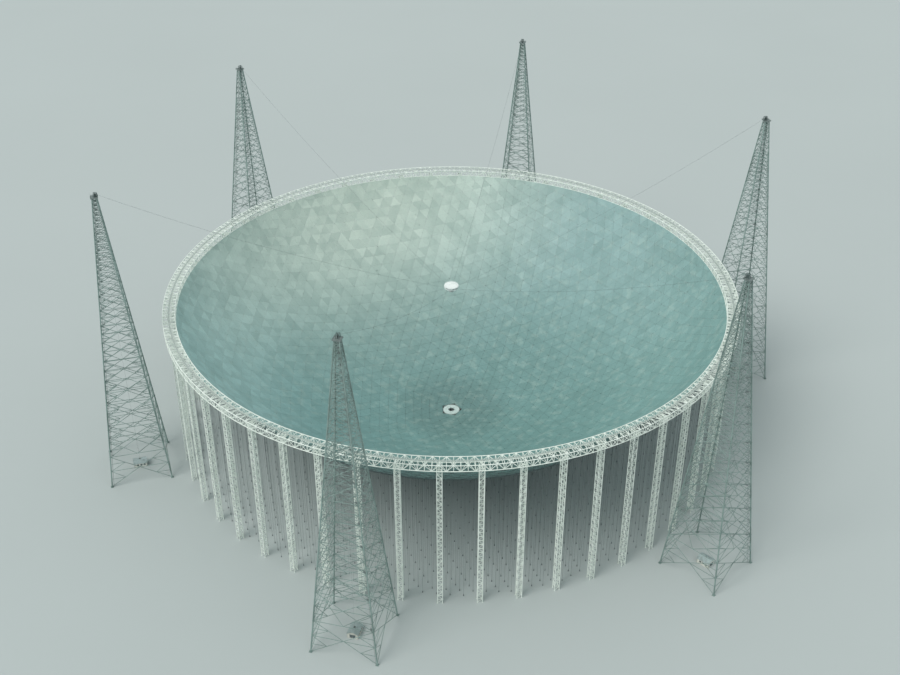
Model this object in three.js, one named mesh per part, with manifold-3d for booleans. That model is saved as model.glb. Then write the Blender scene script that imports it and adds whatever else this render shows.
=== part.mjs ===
// A giant fixed radio telescope dish at 1:20: a spherical bowl hung from a ring truss on fifty
// lattice columns, with six cable towers around it that hold a feed cabin over the bowl's centre.
// Units are millimetres of the model, +Z is up, and the origin is on the floor under the bowl's
// lowest point. The front, -Y, faces the tower named tower_1.

import * as THREE from "three";
import Module from "manifold-3d";
import { mergeVertices } from "three/addons/utils/BufferGeometryUtils.js";

const wasm = await Module();
wasm.setup();

// Driving dimensions, in metres of the full-size telescope times the model's millimetres per metre.
const M = 50;
const SEAM = 0.3; // gap between pieces that touch

const SPHERE_RADIUS = 300 * M;
const RING_INNER_RADIUS = 250.4 * M;
const RING_WIDTH = 11 * M;
const RING_HEIGHT = 5.5 * M;
const RING_CHORD = 0.6 * M;
const RING_WEB = 0.45 * M;
const VERTEX_CLEARANCE = 5 * M;
const SHELL_THICKNESS = 1 * M;
const CENTRE_OPENING_RADIUS = 8.3 * M;
const TIE_DOWN_WIDTH = 0.4 * M;

const COLUMNS = 50;
const RING_SECTORS = 10;
const COLUMN_SPREAD = 4 * M;
const COLUMN_LEG = 0.5 * M;
const COLUMN_BATTEN = 0.3 * M;
const COLUMN_BATTEN_LEVELS = [0.5]; // share of the column's height

const TOWERS = 6;
const TOWER_CIRCLE_RADIUS = 300 * M;
const TOWER_TOP_ABOVE_RIM = 136 * M;
const TOWER_TOP_WIDTH = 5 * M;
const TOWER_FOOT_WIDTH = 55 * M;
const TOWER_LEG = 1.2 * M;
const TOWER_BRACE = 0.7 * M;
const TOWER_WALL = 0.8 * M;
const TOWER_LEVELS = [0, 0.26, 0.47, 0.64, 0.78, 0.9, 1]; // share of the tower's height

const HEAD_DECK_WIDTH = 6.2 * M;
const HEAD_DECK_THICKNESS = 0.4 * M;
const HEAD_WELL_WIDTH = 1 * M;
const SHEAVE_RADIUS = 1 * M;
const SHEAVE_WIDTH = 0.4 * M;
const SHEAVE_LIFT = 1.4 * M;
const CABLE_DIAMETER = 0.12 * M;
const CABLE_SIDES = 3;
const CABLE_STEPS = 6;
const CABLE_SAG = 7.9 * M;

const CABIN_RADIUS = 6.5 * M;
const CABIN_SIDES = 12;
const CABIN_CABLES_ABOVE_RIM = 6 * M;
const CABIN_DRUM_HEIGHT = 2 * M;
const CABIN_TAPER_HEIGHT = 2 * M;
const CABIN_FLOOR_RADIUS = 3.4 * M;
const CABIN_ROOF_HEIGHT = 1.2 * M;
const CABIN_EAVES = 0.3 * M;
const RECEIVER_DISC_RADIUS = 2.4 * M;
const RECEIVER_DISC_THICKNESS = 0.5 * M;
const RECEIVER_DROP = 1.6 * M;
const RECEIVER_HORN_RADIUS = 0.6 * M;

const PLATFORM_RADIUS = 8 * M;
const PLATFORM_OPENING_RADIUS = 3 * M;
const PLATFORM_THICKNESS = 0.6 * M;
const PLATFORM_LEGS = 8;
const PLATFORM_LEG = 0.5 * M;
const WINCH_HOUSE = { length: 12 * M, width: 9 * M, eaves: 4.5 * M, ridge: 6.5 * M, hatch: 1.6 * M };

// The first column stands a quarter of a bay clear of the front tower's centre line.
const BAY = (2 * Math.PI) / COLUMNS;
const FRONT = -Math.PI / 2;
const FIRST_COLUMN = FRONT - BAY / 4;
const COLUMNS_PER_SECTOR = COLUMNS / RING_SECTORS;

const RIM_RADIUS = RING_INNER_RADIUS - RING_CHORD / 2 - SEAM;
const BOWL_DEPTH = SPHERE_RADIUS - Math.sqrt(SPHERE_RADIUS ** 2 - RIM_RADIUS ** 2);
const RIM_Z = VERTEX_CLEARANCE + BOWL_DEPTH;
const SPHERE_CENTRE_Z = VERTEX_CLEARANCE + SPHERE_RADIUS;
const RING_BOTTOM_Z = RIM_Z - RING_CHORD / 2;
const RING_TOP_Z = RING_BOTTOM_Z + RING_HEIGHT;
const RING_OUTER_RADIUS = RING_INNER_RADIUS + RING_WIDTH;
const COLUMN_RADIUS = RING_INNER_RADIUS + RING_WIDTH / 2;
const TOWER_TOP_Z = RIM_Z + TOWER_TOP_ABOVE_RIM;
const HEAD_DECK_Z = TOWER_TOP_Z + SEAM + HEAD_DECK_THICKNESS;

// The cable rises on the tower's axis, turns over the sheave and runs down to the cabin.
const SHEAVE_TURN_RADIUS = SHEAVE_RADIUS + SEAM + CABLE_DIAMETER / 2;
const SHEAVE_CENTRE_RADIUS = TOWER_CIRCLE_RADIUS - SHEAVE_TURN_RADIUS;
const SHEAVE_Z = HEAD_DECK_Z + SHEAVE_LIFT;
const CABIN_Z = RIM_Z + CABIN_CABLES_ABOVE_RIM;
const CABIN_FACE_RADIUS = CABIN_RADIUS * Math.cos(Math.PI / CABIN_SIDES);

// The reflector's bands, from the central opening out to the rim. The tie-downs of a sector are
// given by their radius and by how many bays they stand from the sector's middle.
const REFLECTOR_BANDS = [
  { name: "reflector_inner", outerRadius: 60 * M, sectors: 5, steps: 2, tieDowns: [[46 * M, 0.5]] },
  {
    name: "reflector_middle", outerRadius: 120 * M, sectors: 5, steps: 2,
    tieDowns: [[103 * M, -2.5], [103 * M, 2.5]],
  },
  {
    name: "reflector_outer", outerRadius: RIM_RADIUS, sectors: 10, steps: 4,
    tieDowns: [[178 * M, 0.5], [234 * M, -1.5], [234 * M, 1.5]],
  },
];

const paint = (color, roughness, metalness) =>
  new THREE.MeshStandardMaterial({ color, roughness, metalness });
const MATERIALS = {
  panels: paint(0xa9b8b0, 0.5, 0.4),
  ringSteel: paint(0xd9dfda, 0.5, 0.1),
  towerSteel: paint(0xb4c2be, 0.5, 0.2),
  headSteel: paint(0x7e8b8a, 0.5, 0.3),
  cable: paint(0x7d8688, 0.5, 0.6),
  cabinWhite: paint(0xf2f4f2, 0.5, 0),
  cabinGrey: paint(0x9aa3a3, 0.5, 0.2),
  houseWhite: paint(0xdedfdb, 0.8, 0),
};

const dish = new THREE.Group();

// Makes a closed geometry a solid that can be joined and cut.
function solid(geometry) {
  const shape = geometry.index ? geometry.toNonIndexed() : geometry.clone();
  shape.deleteAttribute("normal");
  shape.deleteAttribute("uv");
  const merged = mergeVertices(shape, 1e-3);
  const corners = merged.index.array;
  const triangles = [];
  for (let i = 0; i < corners.length; i += 3) {
    const [a, b, c] = corners.slice(i, i + 3);
    if (a !== b && b !== c && c !== a) triangles.push(a, b, c);
  }
  const mesh = new wasm.Mesh({
    numProp: 3,
    vertProperties: merged.attributes.position.array,
    triVerts: new Uint32Array(triangles),
  });
  return new wasm.Manifold(mesh);
}

const join = (shapes) => shapes.reduce((all, one) => all.add(one));

// Adds copies of a piece that was made facing +X, turned about the dish's axis to each angle.
function addPieces(name, shape, material, angles) {
  const { vertProperties, triVerts } = shape.getMesh();
  const geometry = new THREE.BufferGeometry()
    .setAttribute("position", new THREE.BufferAttribute(vertProperties, 3))
    .setIndex(new THREE.BufferAttribute(triVerts, 1));
  geometry.computeVertexNormals();
  angles.forEach((angle, i) => {
    const mesh = new THREE.Mesh(geometry, material);
    mesh.name = angles.length > 1 ? `${name}_${i + 1}` : name;
    mesh.rotation.z = angle;
    dish.add(mesh);
  });
}

const evenAngles = (count, first) => Array.from({ length: count }, (_, i) => first + (i * 2 * Math.PI) / count);

const polar = (radius, angle, z) =>
  new THREE.Vector3(radius * Math.cos(angle), radius * Math.sin(angle), z);

// A frame whose Z points outwards at an angle about the vertical and whose Y points up.
function outwardFrame(angle, centre) {
  const frame = new THREE.Matrix4().makeBasis(
    new THREE.Vector3(-Math.sin(angle), Math.cos(angle), 0),
    new THREE.Vector3(0, 0, 1),
    new THREE.Vector3(Math.cos(angle), Math.sin(angle), 0),
  );
  return frame.setPosition(centre);
}

// A box given by its sizes outwards, across and up, turned to face outwards at an angle.
const block = (outwards, across, up, angle, centre) =>
  solid(new THREE.BoxGeometry(across, up, outwards).applyMatrix4(outwardFrame(angle, centre)));

// A square bar between two points, or a three-sided one, with its underside level across.
function bar(from, to, width, sides = 4) {
  const along = to.clone().sub(from);
  const length = along.length();
  along.normalize();
  const across = new THREE.Vector3(0, 0, 1).cross(along).normalize();
  const down = new THREE.Vector3().crossVectors(across, along);
  const frame = new THREE.Matrix4().makeBasis(across, along, down);
  frame.setPosition(from.clone().add(to).multiplyScalar(0.5));
  const radius = width / 2 / Math.sin(Math.PI / sides);
  const rod = new THREE.CylinderGeometry(radius, radius, length, sides, 1, false, Math.PI / sides);
  return solid(rod.applyMatrix4(frame));
}

// A prism on a flat outline, as deep on both sides of the frame's XY plane.
function prism(points, depth, frame = new THREE.Matrix4()) {
  const geometry = new THREE.ExtrudeGeometry(new THREE.Shape(points), { depth: 2 * depth, bevelEnabled: false });
  return solid(geometry.translate(0, 0, -depth).applyMatrix4(frame));
}

// A counterclockwise triangle with each side moved in by a distance of its own.
function insetTriangle(corners, distances) {
  const sides = corners.map((from, i) => {
    const to = corners[(i + 1) % 3];
    const inward = new THREE.Vector2(from.y - to.y, to.x - from.x).normalize();
    return { inward, offset: inward.dot(from) + distances[i] };
  });
  return sides.map((side, i) => {
    const before = sides[(i + 2) % 3];
    const turn = before.inward.cross(side.inward);
    return new THREE.Vector2(
      (before.offset * side.inward.y - side.offset * before.inward.y) / turn,
      (before.inward.x * side.offset - side.inward.x * before.offset) / turn,
    );
  });
}

// An upright wedge about +X, short of each side's plane by half a seam, to cut out a sector.
function wedge(span, reach, height) {
  const corner = (radius, angle, shift) =>
    new THREE.Vector2(radius * Math.cos(angle) - shift * Math.sin(angle),
      radius * Math.sin(angle) + shift * Math.cos(angle));
  const tip = new THREE.Vector2(SEAM / 2 / Math.sin(span / 2), 0);
  const points = [tip, corner(reach, -span / 2, SEAM / 2), corner(reach, -span / 4, 0), corner(reach, 0, 0),
    corner(reach, span / 4, 0), corner(reach, span / 2, -SEAM / 2)];
  return prism(points, height);
}

// A ring turned from a closed profile of [radius, z] points, with a corner at the given angle.
// It turns about an upright axis through a point.
function turned(profile, sides, angle = 0, axis = new THREE.Vector3()) {
  const points = [...profile, profile[0]].map(([radius, z]) => new THREE.Vector2(radius, z));
  // LatheGeometry turns about Y from +Z, so the ring is stood up and turned round.
  const ring = new THREE.LatheGeometry(points, sides).rotateX(Math.PI / 2);
  return solid(ring.rotateZ(angle + Math.PI / 2).translate(axis.x, axis.y, axis.z));
}

// The height of a turned profile over the middle of a bay.
function heightInBay(profile, radius) {
  const reach = radius / Math.cos(BAY / 2);
  const i = profile.findIndex(([next]) => next > reach);
  const [[r0, z0], [r1, z1]] = [profile[i - 1], profile[i]];
  return z0 + ((z1 - z0) * (reach - r0)) / (r1 - r0);
}

// A three-sided upright bar that stands on the floor.
function upright(place, width, height) {
  const post = new THREE.CylinderGeometry(width / Math.sqrt(3), width / Math.sqrt(3), height, 3);
  return solid(post.rotateX(Math.PI / 2).translate(place.x, place.y, height / 2));
}

// One sector of a band of the bowl's shell, with one flat side for each bay of the ring, and the
// bars under it that stand for its tie-down cables.
function bandSector(innerRadius, { outerRadius, sectors, steps, tieDowns }) {
  const inner = Math.asin(innerRadius / SPHERE_RADIUS);
  const outer = Math.asin(outerRadius / SPHERE_RADIUS);
  const backRadius = SPHERE_RADIUS + SHELL_THICKNESS;
  const front = [];
  const back = [];
  for (let i = 0; i <= steps; i++) {
    const radius = SPHERE_RADIUS * Math.sin(inner + ((outer - inner) * i) / steps);
    front.push([radius, SPHERE_CENTRE_Z - Math.sqrt(SPHERE_RADIUS ** 2 - radius ** 2)]);
    back.push([radius, SPHERE_CENTRE_Z - Math.sqrt(backRadius ** 2 - radius ** 2)]);
  }
  const bars = tieDowns.map(([radius, bays]) => {
    const top = (heightInBay(back, radius) + heightInBay(front, radius)) / 2;
    return upright(polar(radius, bays * BAY, 0), TIE_DOWN_WIDTH, top);
  });
  const shell = turned([...back, ...front.reverse()], COLUMNS);
  return join([shell.intersect(wedge((2 * Math.PI) / sectors, 1.3 * outerRadius, RING_TOP_Z)), ...bars]);
}

function addReflector() {
  let innerRadius = CENTRE_OPENING_RADIUS;
  for (const band of REFLECTOR_BANDS) {
    addPieces(band.name, bandSector(innerRadius, band), MATERIALS.panels, evenAngles(band.sectors, FIRST_COLUMN));
    innerRadius = band.outerRadius + SEAM;
  }
}

// One wall of the ring truss: a band with openings cut out of every bay, which leaves two chords,
// a post over each column and the diagonals.
function ringWall(radius, openings) {
  const reach = RING_CHORD / 2;
  const low = RING_BOTTOM_Z - reach;
  const high = RING_TOP_Z + reach;
  const profile = [[radius - reach, low], [radius + reach, low], [radius + reach, high], [radius - reach, high]];
  const cuts = [];
  for (let i = 0; i <= COLUMNS_PER_SECTOR; i++) {
    const angle = (i - COLUMNS_PER_SECTOR / 2) * BAY;
    const frame = outwardFrame(angle, polar(radius * Math.cos(BAY / 2), angle, RING_BOTTOM_Z));
    for (const points of openings(radius * Math.sin(BAY / 2))) cuts.push(prism(points, RING_CHORD, frame));
  }
  return turned(profile, COLUMNS).subtract(join(cuts));
}

// Two diagonals a bay, that rise to the middle of the bay.
function outerOpenings(halfBay) {
  const chord = RING_CHORD / 2;
  const web = RING_WEB / 2;
  const at = (x, y) => new THREE.Vector2(x, y);
  const [left, right, top] = [at(-halfBay, 0), at(halfBay, 0), at(0, RING_HEIGHT)];
  return [
    insetTriangle([left, right, top], [chord, web, web]),
    insetTriangle([left, top, at(-halfBay, RING_HEIGHT)], [web, chord, web]),
    insetTriangle([right, at(halfBay, RING_HEIGHT), top], [web, chord, web]),
  ];
}

// One diagonal a bay.
function innerOpenings(halfBay) {
  const chord = RING_CHORD / 2;
  const web = RING_WEB / 2;
  const at = (x, y) => new THREE.Vector2(x, y);
  const [left, right, top] = [at(-halfBay, 0), at(halfBay, 0), at(halfBay, RING_HEIGHT)];
  return [
    insetTriangle([left, right, top], [chord, web, web]),
    insetTriangle([left, top, at(-halfBay, RING_HEIGHT)], [web, chord, web]),
  ];
}

// One lattice column with the pair of beams that carry the ring, and the ring's tie over it.
function columnBars(angle) {
  const half = COLUMN_SPREAD / 2;
  const reach = RING_WIDTH / 2;
  const frame = outwardFrame(angle, polar(COLUMN_RADIUS, angle, 0));
  const at = (outwards, across, z) => new THREE.Vector3(across, z, outwards).applyMatrix4(frame);
  const bars = [bar(at(-reach, 0, RING_TOP_Z), at(reach, 0, RING_TOP_Z), RING_WEB, 3)];
  for (const across of [-half, half]) {
    for (const outwards of [-half, half]) {
      const centre = at(outwards, across, RING_BOTTOM_Z / 2);
      bars.push(block(COLUMN_LEG, COLUMN_LEG, RING_BOTTOM_Z, angle, centre));
    }
    bars.push(bar(at(-reach, across, RING_BOTTOM_Z), at(reach, across, RING_BOTTOM_Z), 0.9 * RING_CHORD));
  }
  for (const level of COLUMN_BATTEN_LEVELS) {
    const z = level * RING_BOTTOM_Z;
    for (const side of [-half, half]) {
      bars.push(bar(at(-half, side, z), at(half, side, z), COLUMN_BATTEN, 3));
      bars.push(bar(at(side, -half, z), at(side, half, z), COLUMN_BATTEN, 3));
    }
  }
  return bars;
}

// A sector of the ring carries five columns, and ends in the middle of a bay at each side.
function addRing() {
  const span = COLUMNS_PER_SECTOR * BAY;
  const walls = ringWall(RING_INNER_RADIUS, innerOpenings).add(ringWall(RING_OUTER_RADIUS, outerOpenings));
  const pieces = [walls.intersect(wedge(span, 1.2 * RING_OUTER_RADIUS, 2 * RING_TOP_Z))];
  for (let i = 0; i < COLUMNS_PER_SECTOR; i++) {
    pieces.push(...columnBars((i - (COLUMNS_PER_SECTOR - 1) / 2) * BAY));
  }
  const middle = FIRST_COLUMN + ((COLUMNS_PER_SECTOR - 1) / 2) * BAY;
  addPieces("ring_sector", join(pieces), MATERIALS.ringSteel, evenAngles(RING_SECTORS, middle));
}

// A solid taper from one square up to another, on the axis of the tower that faces +X.
function taper(lowZ, highZ, lowWidth, highWidth) {
  const shape = new THREE.CylinderGeometry(highWidth / Math.SQRT2, lowWidth / Math.SQRT2, highZ - lowZ, 4);
  shape.rotateX(Math.PI / 2).rotateZ(Math.PI / 4);
  return solid(shape.translate(TOWER_CIRCLE_RADIUS, 0, (lowZ + highZ) / 2));
}

// The openings of a tower. Each side has two in each storey, which leaves the legs, a level brace
// under each storey and one diagonal. The lowest storey is open down to the floor.
function towerOpenings() {
  const lean = (TOWER_FOOT_WIDTH - TOWER_TOP_WIDTH) / 2;
  const slope = Math.hypot(TOWER_TOP_Z, lean);
  const across = new THREE.Vector3(0, 1, 0);
  const up = new THREE.Vector3(-lean, 0, TOWER_TOP_Z).normalize();
  const side = new THREE.Matrix4().makeBasis(across, up, new THREE.Vector3().crossVectors(across, up));
  side.setPosition(TOWER_FOOT_WIDTH / 2, 0, 0);
  const corner = (way, level) =>
    new THREE.Vector2(way * (TOWER_FOOT_WIDTH / 2 - lean * level - TOWER_LEG), level * slope);
  const half = TOWER_BRACE / 2;
  const openings = [];
  for (let face = 0; face < 4; face++) {
    const frame = new THREE.Matrix4().makeTranslation(TOWER_CIRCLE_RADIUS, 0, 0);
    frame.multiply(new THREE.Matrix4().makeRotationZ((face * Math.PI) / 2)).multiply(side);
    for (let i = 0; i + 1 < TOWER_LEVELS.length; i++) {
      const [a, b] = [corner(-1, TOWER_LEVELS[i]), corner(1, TOWER_LEVELS[i])];
      const [c, d] = [corner(1, TOWER_LEVELS[i + 1]), corner(-1, TOWER_LEVELS[i + 1])];
      const sill = i === 0 ? -TOWER_BRACE : half;
      const triangles = i % 2
        ? [insetTriangle([a, b, c], [sill, 0, half]), insetTriangle([a, c, d], [half, half, 0])]
        : [insetTriangle([a, b, d], [sill, half, 0]), insetTriangle([b, c, d], [0, half, half])];
      for (const triangle of triangles) openings.push(prism(triangle, 1.2 * TOWER_WALL, frame));
    }
  }
  return openings;
}

function addTowers() {
  const over = 0.02;
  const gain = over * (TOWER_FOOT_WIDTH - TOWER_TOP_WIDTH);
  const shaft = taper(0, TOWER_TOP_Z, TOWER_FOOT_WIDTH, TOWER_TOP_WIDTH);
  const hollow = taper(-over * TOWER_TOP_Z, (1 + over) * TOWER_TOP_Z,
    TOWER_FOOT_WIDTH - 2 * TOWER_WALL + gain, TOWER_TOP_WIDTH - 2 * TOWER_WALL - gain);
  const tower = shaft.subtract(join([hollow, ...towerOpenings()]));
  addPieces("tower", tower, MATERIALS.towerSteel, evenAngles(TOWERS, FRONT));
}

// The head of a tower: a deck with a well, and a sheave between two cheeks over it.
function addTowerHeads() {
  const at = (radius, across, z) => new THREE.Vector3(radius, across, z);
  const deckMiddle = at(TOWER_CIRCLE_RADIUS, 0, HEAD_DECK_Z - HEAD_DECK_THICKNESS / 2);
  const deck = block(HEAD_DECK_WIDTH, HEAD_DECK_WIDTH, HEAD_DECK_THICKNESS, 0, deckMiddle);
  const well = block(HEAD_WELL_WIDTH, HEAD_WELL_WIDTH, 2 * HEAD_DECK_THICKNESS, 0, deckMiddle);
  const wheel = new THREE.CylinderGeometry(SHEAVE_RADIUS, SHEAVE_RADIUS, SHEAVE_WIDTH, 12);
  const pin = SHEAVE_RADIUS / 4;
  const cheekTop = SHEAVE_Z + SHEAVE_RADIUS / 2;
  const cheekHeight = cheekTop - deckMiddle.z;
  const pieces = [
    deck.subtract(well),
    solid(wheel.translate(SHEAVE_CENTRE_RADIUS, 0, SHEAVE_Z)),
    bar(at(SHEAVE_CENTRE_RADIUS, -SHEAVE_WIDTH, SHEAVE_Z), at(SHEAVE_CENTRE_RADIUS, SHEAVE_WIDTH, SHEAVE_Z), pin, 3),
  ];
  for (const side of [-1, 1]) {
    const middle = at(SHEAVE_CENTRE_RADIUS, side * SHEAVE_WIDTH, cheekTop - cheekHeight / 2);
    pieces.push(block(3 * SHEAVE_RADIUS, SHEAVE_WIDTH / 2, cheekHeight, 0, middle));
  }
  addPieces("tower_head", join(pieces), MATERIALS.headSteel, evenAngles(TOWERS, FRONT));
}

function rope(path, steps) {
  const corners = [];
  for (let i = 0; i < CABLE_SIDES; i++) {
    const angle = (i * 2 * Math.PI) / CABLE_SIDES;
    corners.push(new THREE.Vector2(Math.cos(angle), Math.sin(angle)).multiplyScalar(CABLE_DIAMETER / 2));
  }
  const section = new THREE.Shape(corners);
  return solid(new THREE.ExtrudeGeometry(section, { steps, extrudePath: path, bevelEnabled: false }));
}

// Each cable runs from its winch house up the tower, over the sheave and down a shallow parabola
// to the side of the cabin.
function addCables() {
  const slope = (SHEAVE_Z - CABIN_Z + 4 * CABLE_SAG) / (SHEAVE_CENTRE_RADIUS - CABIN_FACE_RADIUS);
  const wrap = Math.PI / 2 + Math.atan(slope);
  const onSheave = (angle) => new THREE.Vector3(
    SHEAVE_CENTRE_RADIUS + SHEAVE_TURN_RADIUS * Math.cos(angle), 0, SHEAVE_Z + SHEAVE_TURN_RADIUS * Math.sin(angle));
  const overlap = 1;
  const roof = new THREE.Vector3(TOWER_CIRCLE_RADIUS, 0, WINCH_HOUSE.ridge + SEAM);
  const rise = new THREE.LineCurve3(roof, onSheave(0).setZ(SHEAVE_Z + overlap));
  const turn = new THREE.CatmullRomCurve3([0, 1, 2, 3, 4].map((i) => onSheave((wrap * i) / 4)));
  const leave = onSheave(wrap);
  const reach = new THREE.Vector3(CABIN_FACE_RADIUS + SEAM + CABLE_DIAMETER / 4, 0, CABIN_Z);
  const half = (leave.x - reach.x) / 2;
  const bend = new THREE.Vector3(leave.x - half, 0, leave.z - half * slope);
  const start = leave.clone().add(leave.clone().sub(bend).setLength(overlap));
  const span = new THREE.QuadraticBezierCurve3(start, bend, reach);
  const cable = join([rope(rise, 1), rope(turn, 4), rope(span, CABLE_STEPS)]);
  addPieces("suspension_cable", cable, MATERIALS.cable, evenAngles(TOWERS, FRONT));
}

// The cabin hangs with its middle on the bowl's axis: a drum under a shallow roof, and under it
// the receivers' disc on six struts.
function addCabin() {
  const flat = Math.PI / CABIN_SIDES;
  const drumTop = CABIN_Z + CABIN_DRUM_HEIGHT / 2;
  const drumBottom = CABIN_Z - CABIN_DRUM_HEIGHT / 2;
  const floor = drumBottom - CABIN_TAPER_HEIGHT;
  const body = turned([[0, floor], [CABIN_FLOOR_RADIUS, floor], [CABIN_RADIUS, drumBottom],
    [CABIN_RADIUS, drumTop], [0, drumTop]], CABIN_SIDES, flat);
  addPieces("cabin_body", body, MATERIALS.cabinGrey, [0]);
  const roofBottom = drumTop + SEAM;
  const eaves = CABIN_RADIUS + CABIN_EAVES;
  const roof = turned([[0, roofBottom], [eaves, roofBottom], [eaves, roofBottom + CABIN_EAVES],
    [0, roofBottom + CABIN_ROOF_HEIGHT]], CABIN_SIDES, flat);
  addPieces("cabin_roof", roof, MATERIALS.cabinWhite, [0]);
  const seat = floor - SEAM;
  const discTop = seat - RECEIVER_DROP;
  const discBottom = discTop - RECEIVER_DISC_THICKNESS;
  const pieces = [
    turned([[0, discBottom], [RECEIVER_DISC_RADIUS, discBottom], [RECEIVER_DISC_RADIUS, discTop], [0, discTop]], 12),
    turned([[0, seat - CABIN_EAVES], [CABIN_FLOOR_RADIUS, seat - CABIN_EAVES], [CABIN_FLOOR_RADIUS, seat], [0, seat]], 12),
  ];
  for (let i = 0; i < 6; i++) {
    const angle = (i * Math.PI) / 3;
    const lean = (i % 2 ? 1 : -1) * 0.25;
    const high = polar(0.85 * CABIN_FLOOR_RADIUS, angle, seat - CABIN_EAVES / 2);
    const low = polar(0.85 * RECEIVER_DISC_RADIUS, angle + lean, discTop - RECEIVER_DISC_THICKNESS / 2);
    pieces.push(bar(low, high, 0.3 * M, 3));
  }
  const horn = (size, place) => turned([[0, discBottom - 1.2 * size], [size, discBottom - 1.2 * size],
    [size, discTop - size / 4], [0, discTop - size / 4]], 6, 0, place);
  pieces.push(horn(RECEIVER_HORN_RADIUS, polar(0, 0, 0)));
  for (const angle of evenAngles(3, 0)) {
    pieces.push(horn(0.6 * RECEIVER_HORN_RADIUS, polar(0.65 * RECEIVER_DISC_RADIUS, angle, 0)));
  }
  addPieces("receiver_platform", join(pieces), MATERIALS.cabinWhite, [0]);
}

// The docking platform stands in the bowl's central opening, on legs of its own.
function addDockingPlatform() {
  const top = VERTEX_CLEARANCE;
  const bottom = top - PLATFORM_THICKNESS;
  const profile = [[PLATFORM_OPENING_RADIUS, bottom], [PLATFORM_RADIUS, bottom],
    [PLATFORM_RADIUS, top], [PLATFORM_OPENING_RADIUS, top]];
  const pieces = [turned(profile, 2 * PLATFORM_LEGS)];
  const legTop = (top + bottom) / 2;
  for (const angle of evenAngles(PLATFORM_LEGS, Math.PI / PLATFORM_LEGS)) {
    pieces.push(upright(polar(PLATFORM_RADIUS - 2 * PLATFORM_LEG, angle, 0), PLATFORM_LEG, legTop));
  }
  addPieces("docking_platform", join(pieces), MATERIALS.cabinWhite, [0]);
}

function addWinchHouses() {
  const { length, width, eaves, ridge, hatch } = WINCH_HOUSE;
  const outline = [[-width, 0], [width, 0], [width, 2 * eaves], [hatch, 2 * ridge], [-hatch, 2 * ridge], [-width, 2 * eaves]];
  const points = outline.map(([x, y]) => new THREE.Vector2(x / 2, y / 2));
  const house = prism(points, length / 2, outwardFrame(0, polar(TOWER_CIRCLE_RADIUS, 0, 0)));
  addPieces("winch_house", house, MATERIALS.houseWhite, evenAngles(TOWERS, FRONT));
}

addReflector();
addRing();
addTowers();
addTowerHeads();
addCables();
addCabin();
addDockingPlatform();
addWinchHouses();

export default dish;
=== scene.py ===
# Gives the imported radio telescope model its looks: panels, cable net, ring truss, columns, towers,
# cables, cabin, docking platform and winch houses, with their materials, lights and camera.
# The model is at 1:20, and M turns a full-size metre into metres of the model.
# Shapes are built facing +X and are turned about the bowl's upright axis to their places.

from math import atan, atan2, cos, hypot, pi, radians, sin, sqrt, tan
import random

import bmesh
import bpy
from mathutils import Matrix, Vector


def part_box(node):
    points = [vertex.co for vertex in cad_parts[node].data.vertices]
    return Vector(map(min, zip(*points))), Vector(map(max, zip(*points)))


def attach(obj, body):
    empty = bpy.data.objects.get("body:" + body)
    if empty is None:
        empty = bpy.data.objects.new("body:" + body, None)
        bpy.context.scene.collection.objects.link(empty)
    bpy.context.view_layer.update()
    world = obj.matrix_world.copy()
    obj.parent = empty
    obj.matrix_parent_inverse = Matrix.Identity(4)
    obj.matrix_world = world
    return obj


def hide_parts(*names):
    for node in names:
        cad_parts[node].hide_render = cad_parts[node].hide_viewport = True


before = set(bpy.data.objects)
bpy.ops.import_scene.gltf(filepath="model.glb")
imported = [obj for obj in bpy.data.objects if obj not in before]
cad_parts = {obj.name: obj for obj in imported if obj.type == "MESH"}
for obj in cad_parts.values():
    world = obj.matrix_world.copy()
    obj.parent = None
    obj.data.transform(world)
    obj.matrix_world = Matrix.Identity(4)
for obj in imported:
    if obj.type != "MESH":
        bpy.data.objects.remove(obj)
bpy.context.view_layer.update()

BODY = "root"
M = 1 / 20
SEAM = 0.0003  # gap between pieces that touch
UP = Vector((0, 0, 1))
ACROSS = Vector((0, 1, 0))
QUARTER_TURN = pi / 2
SMOOTH_ANGLE = radians(50)

# Places that come from the frame
RIM_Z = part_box("reflector_outer_1")[1].z
RING_TOP_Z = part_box("ring_sector_1")[1].z
VERTEX_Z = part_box("docking_platform")[1].z
TOWER_TOP_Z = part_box("tower_1")[1].z
CABIN_TOP_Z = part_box("cabin_roof")[1].z
CABIN_DRUM_TOP_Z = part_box("cabin_body")[1].z
CABIN_FLOOR_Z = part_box("cabin_body")[0].z

# Driving dimensions, as in the model's source
SPHERE_RADIUS = 300 * M
CENTRE_OPENING_RADIUS = 8.3 * M
RING_INNER_RADIUS = 250.4 * M
RING_WIDTH = 11 * M
CHORD = 0.6 * M
COLUMNS = 50
COLUMN_SPREAD = 4 * M
RING_SECTORS = 10
TOWERS = 6
TOWER_CIRCLE_RADIUS = 300 * M
TOWER_TOP_WIDTH = 5 * M
TOWER_FOOT_WIDTH = 55 * M
TOWER_LEG = 1.2 * M
DECK_WIDTH = 6.2 * M
DECK_THICKNESS = 0.4 * M
WELL_WIDTH = 1 * M
SHEAVE_RADIUS = 1 * M
SHEAVE_LIFT = 1.4 * M
CABLE_DIAMETER = 0.12 * M
CABLE_SAG = 7.9 * M
CABIN_RADIUS = 6.5 * M
CABIN_SIDES = 12
CABIN_EAVES = 0.3 * M
CABIN_DRUM_HEIGHT = 2 * M
CABIN_FLOOR_RADIUS = 3.4 * M
PLATFORM_RADIUS = 8 * M
PLATFORM_OPENING_RADIUS = 3 * M
PLATFORM_THICKNESS = 0.6 * M
PLATFORM_LEGS = 8
HOUSE_LENGTH = 12 * M
HOUSE_WIDTH = 9 * M
HOUSE_EAVES = 4.5 * M
HOUSE_RIDGE = 6.5 * M
HATCH_WIDTH = 1.6 * M

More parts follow.
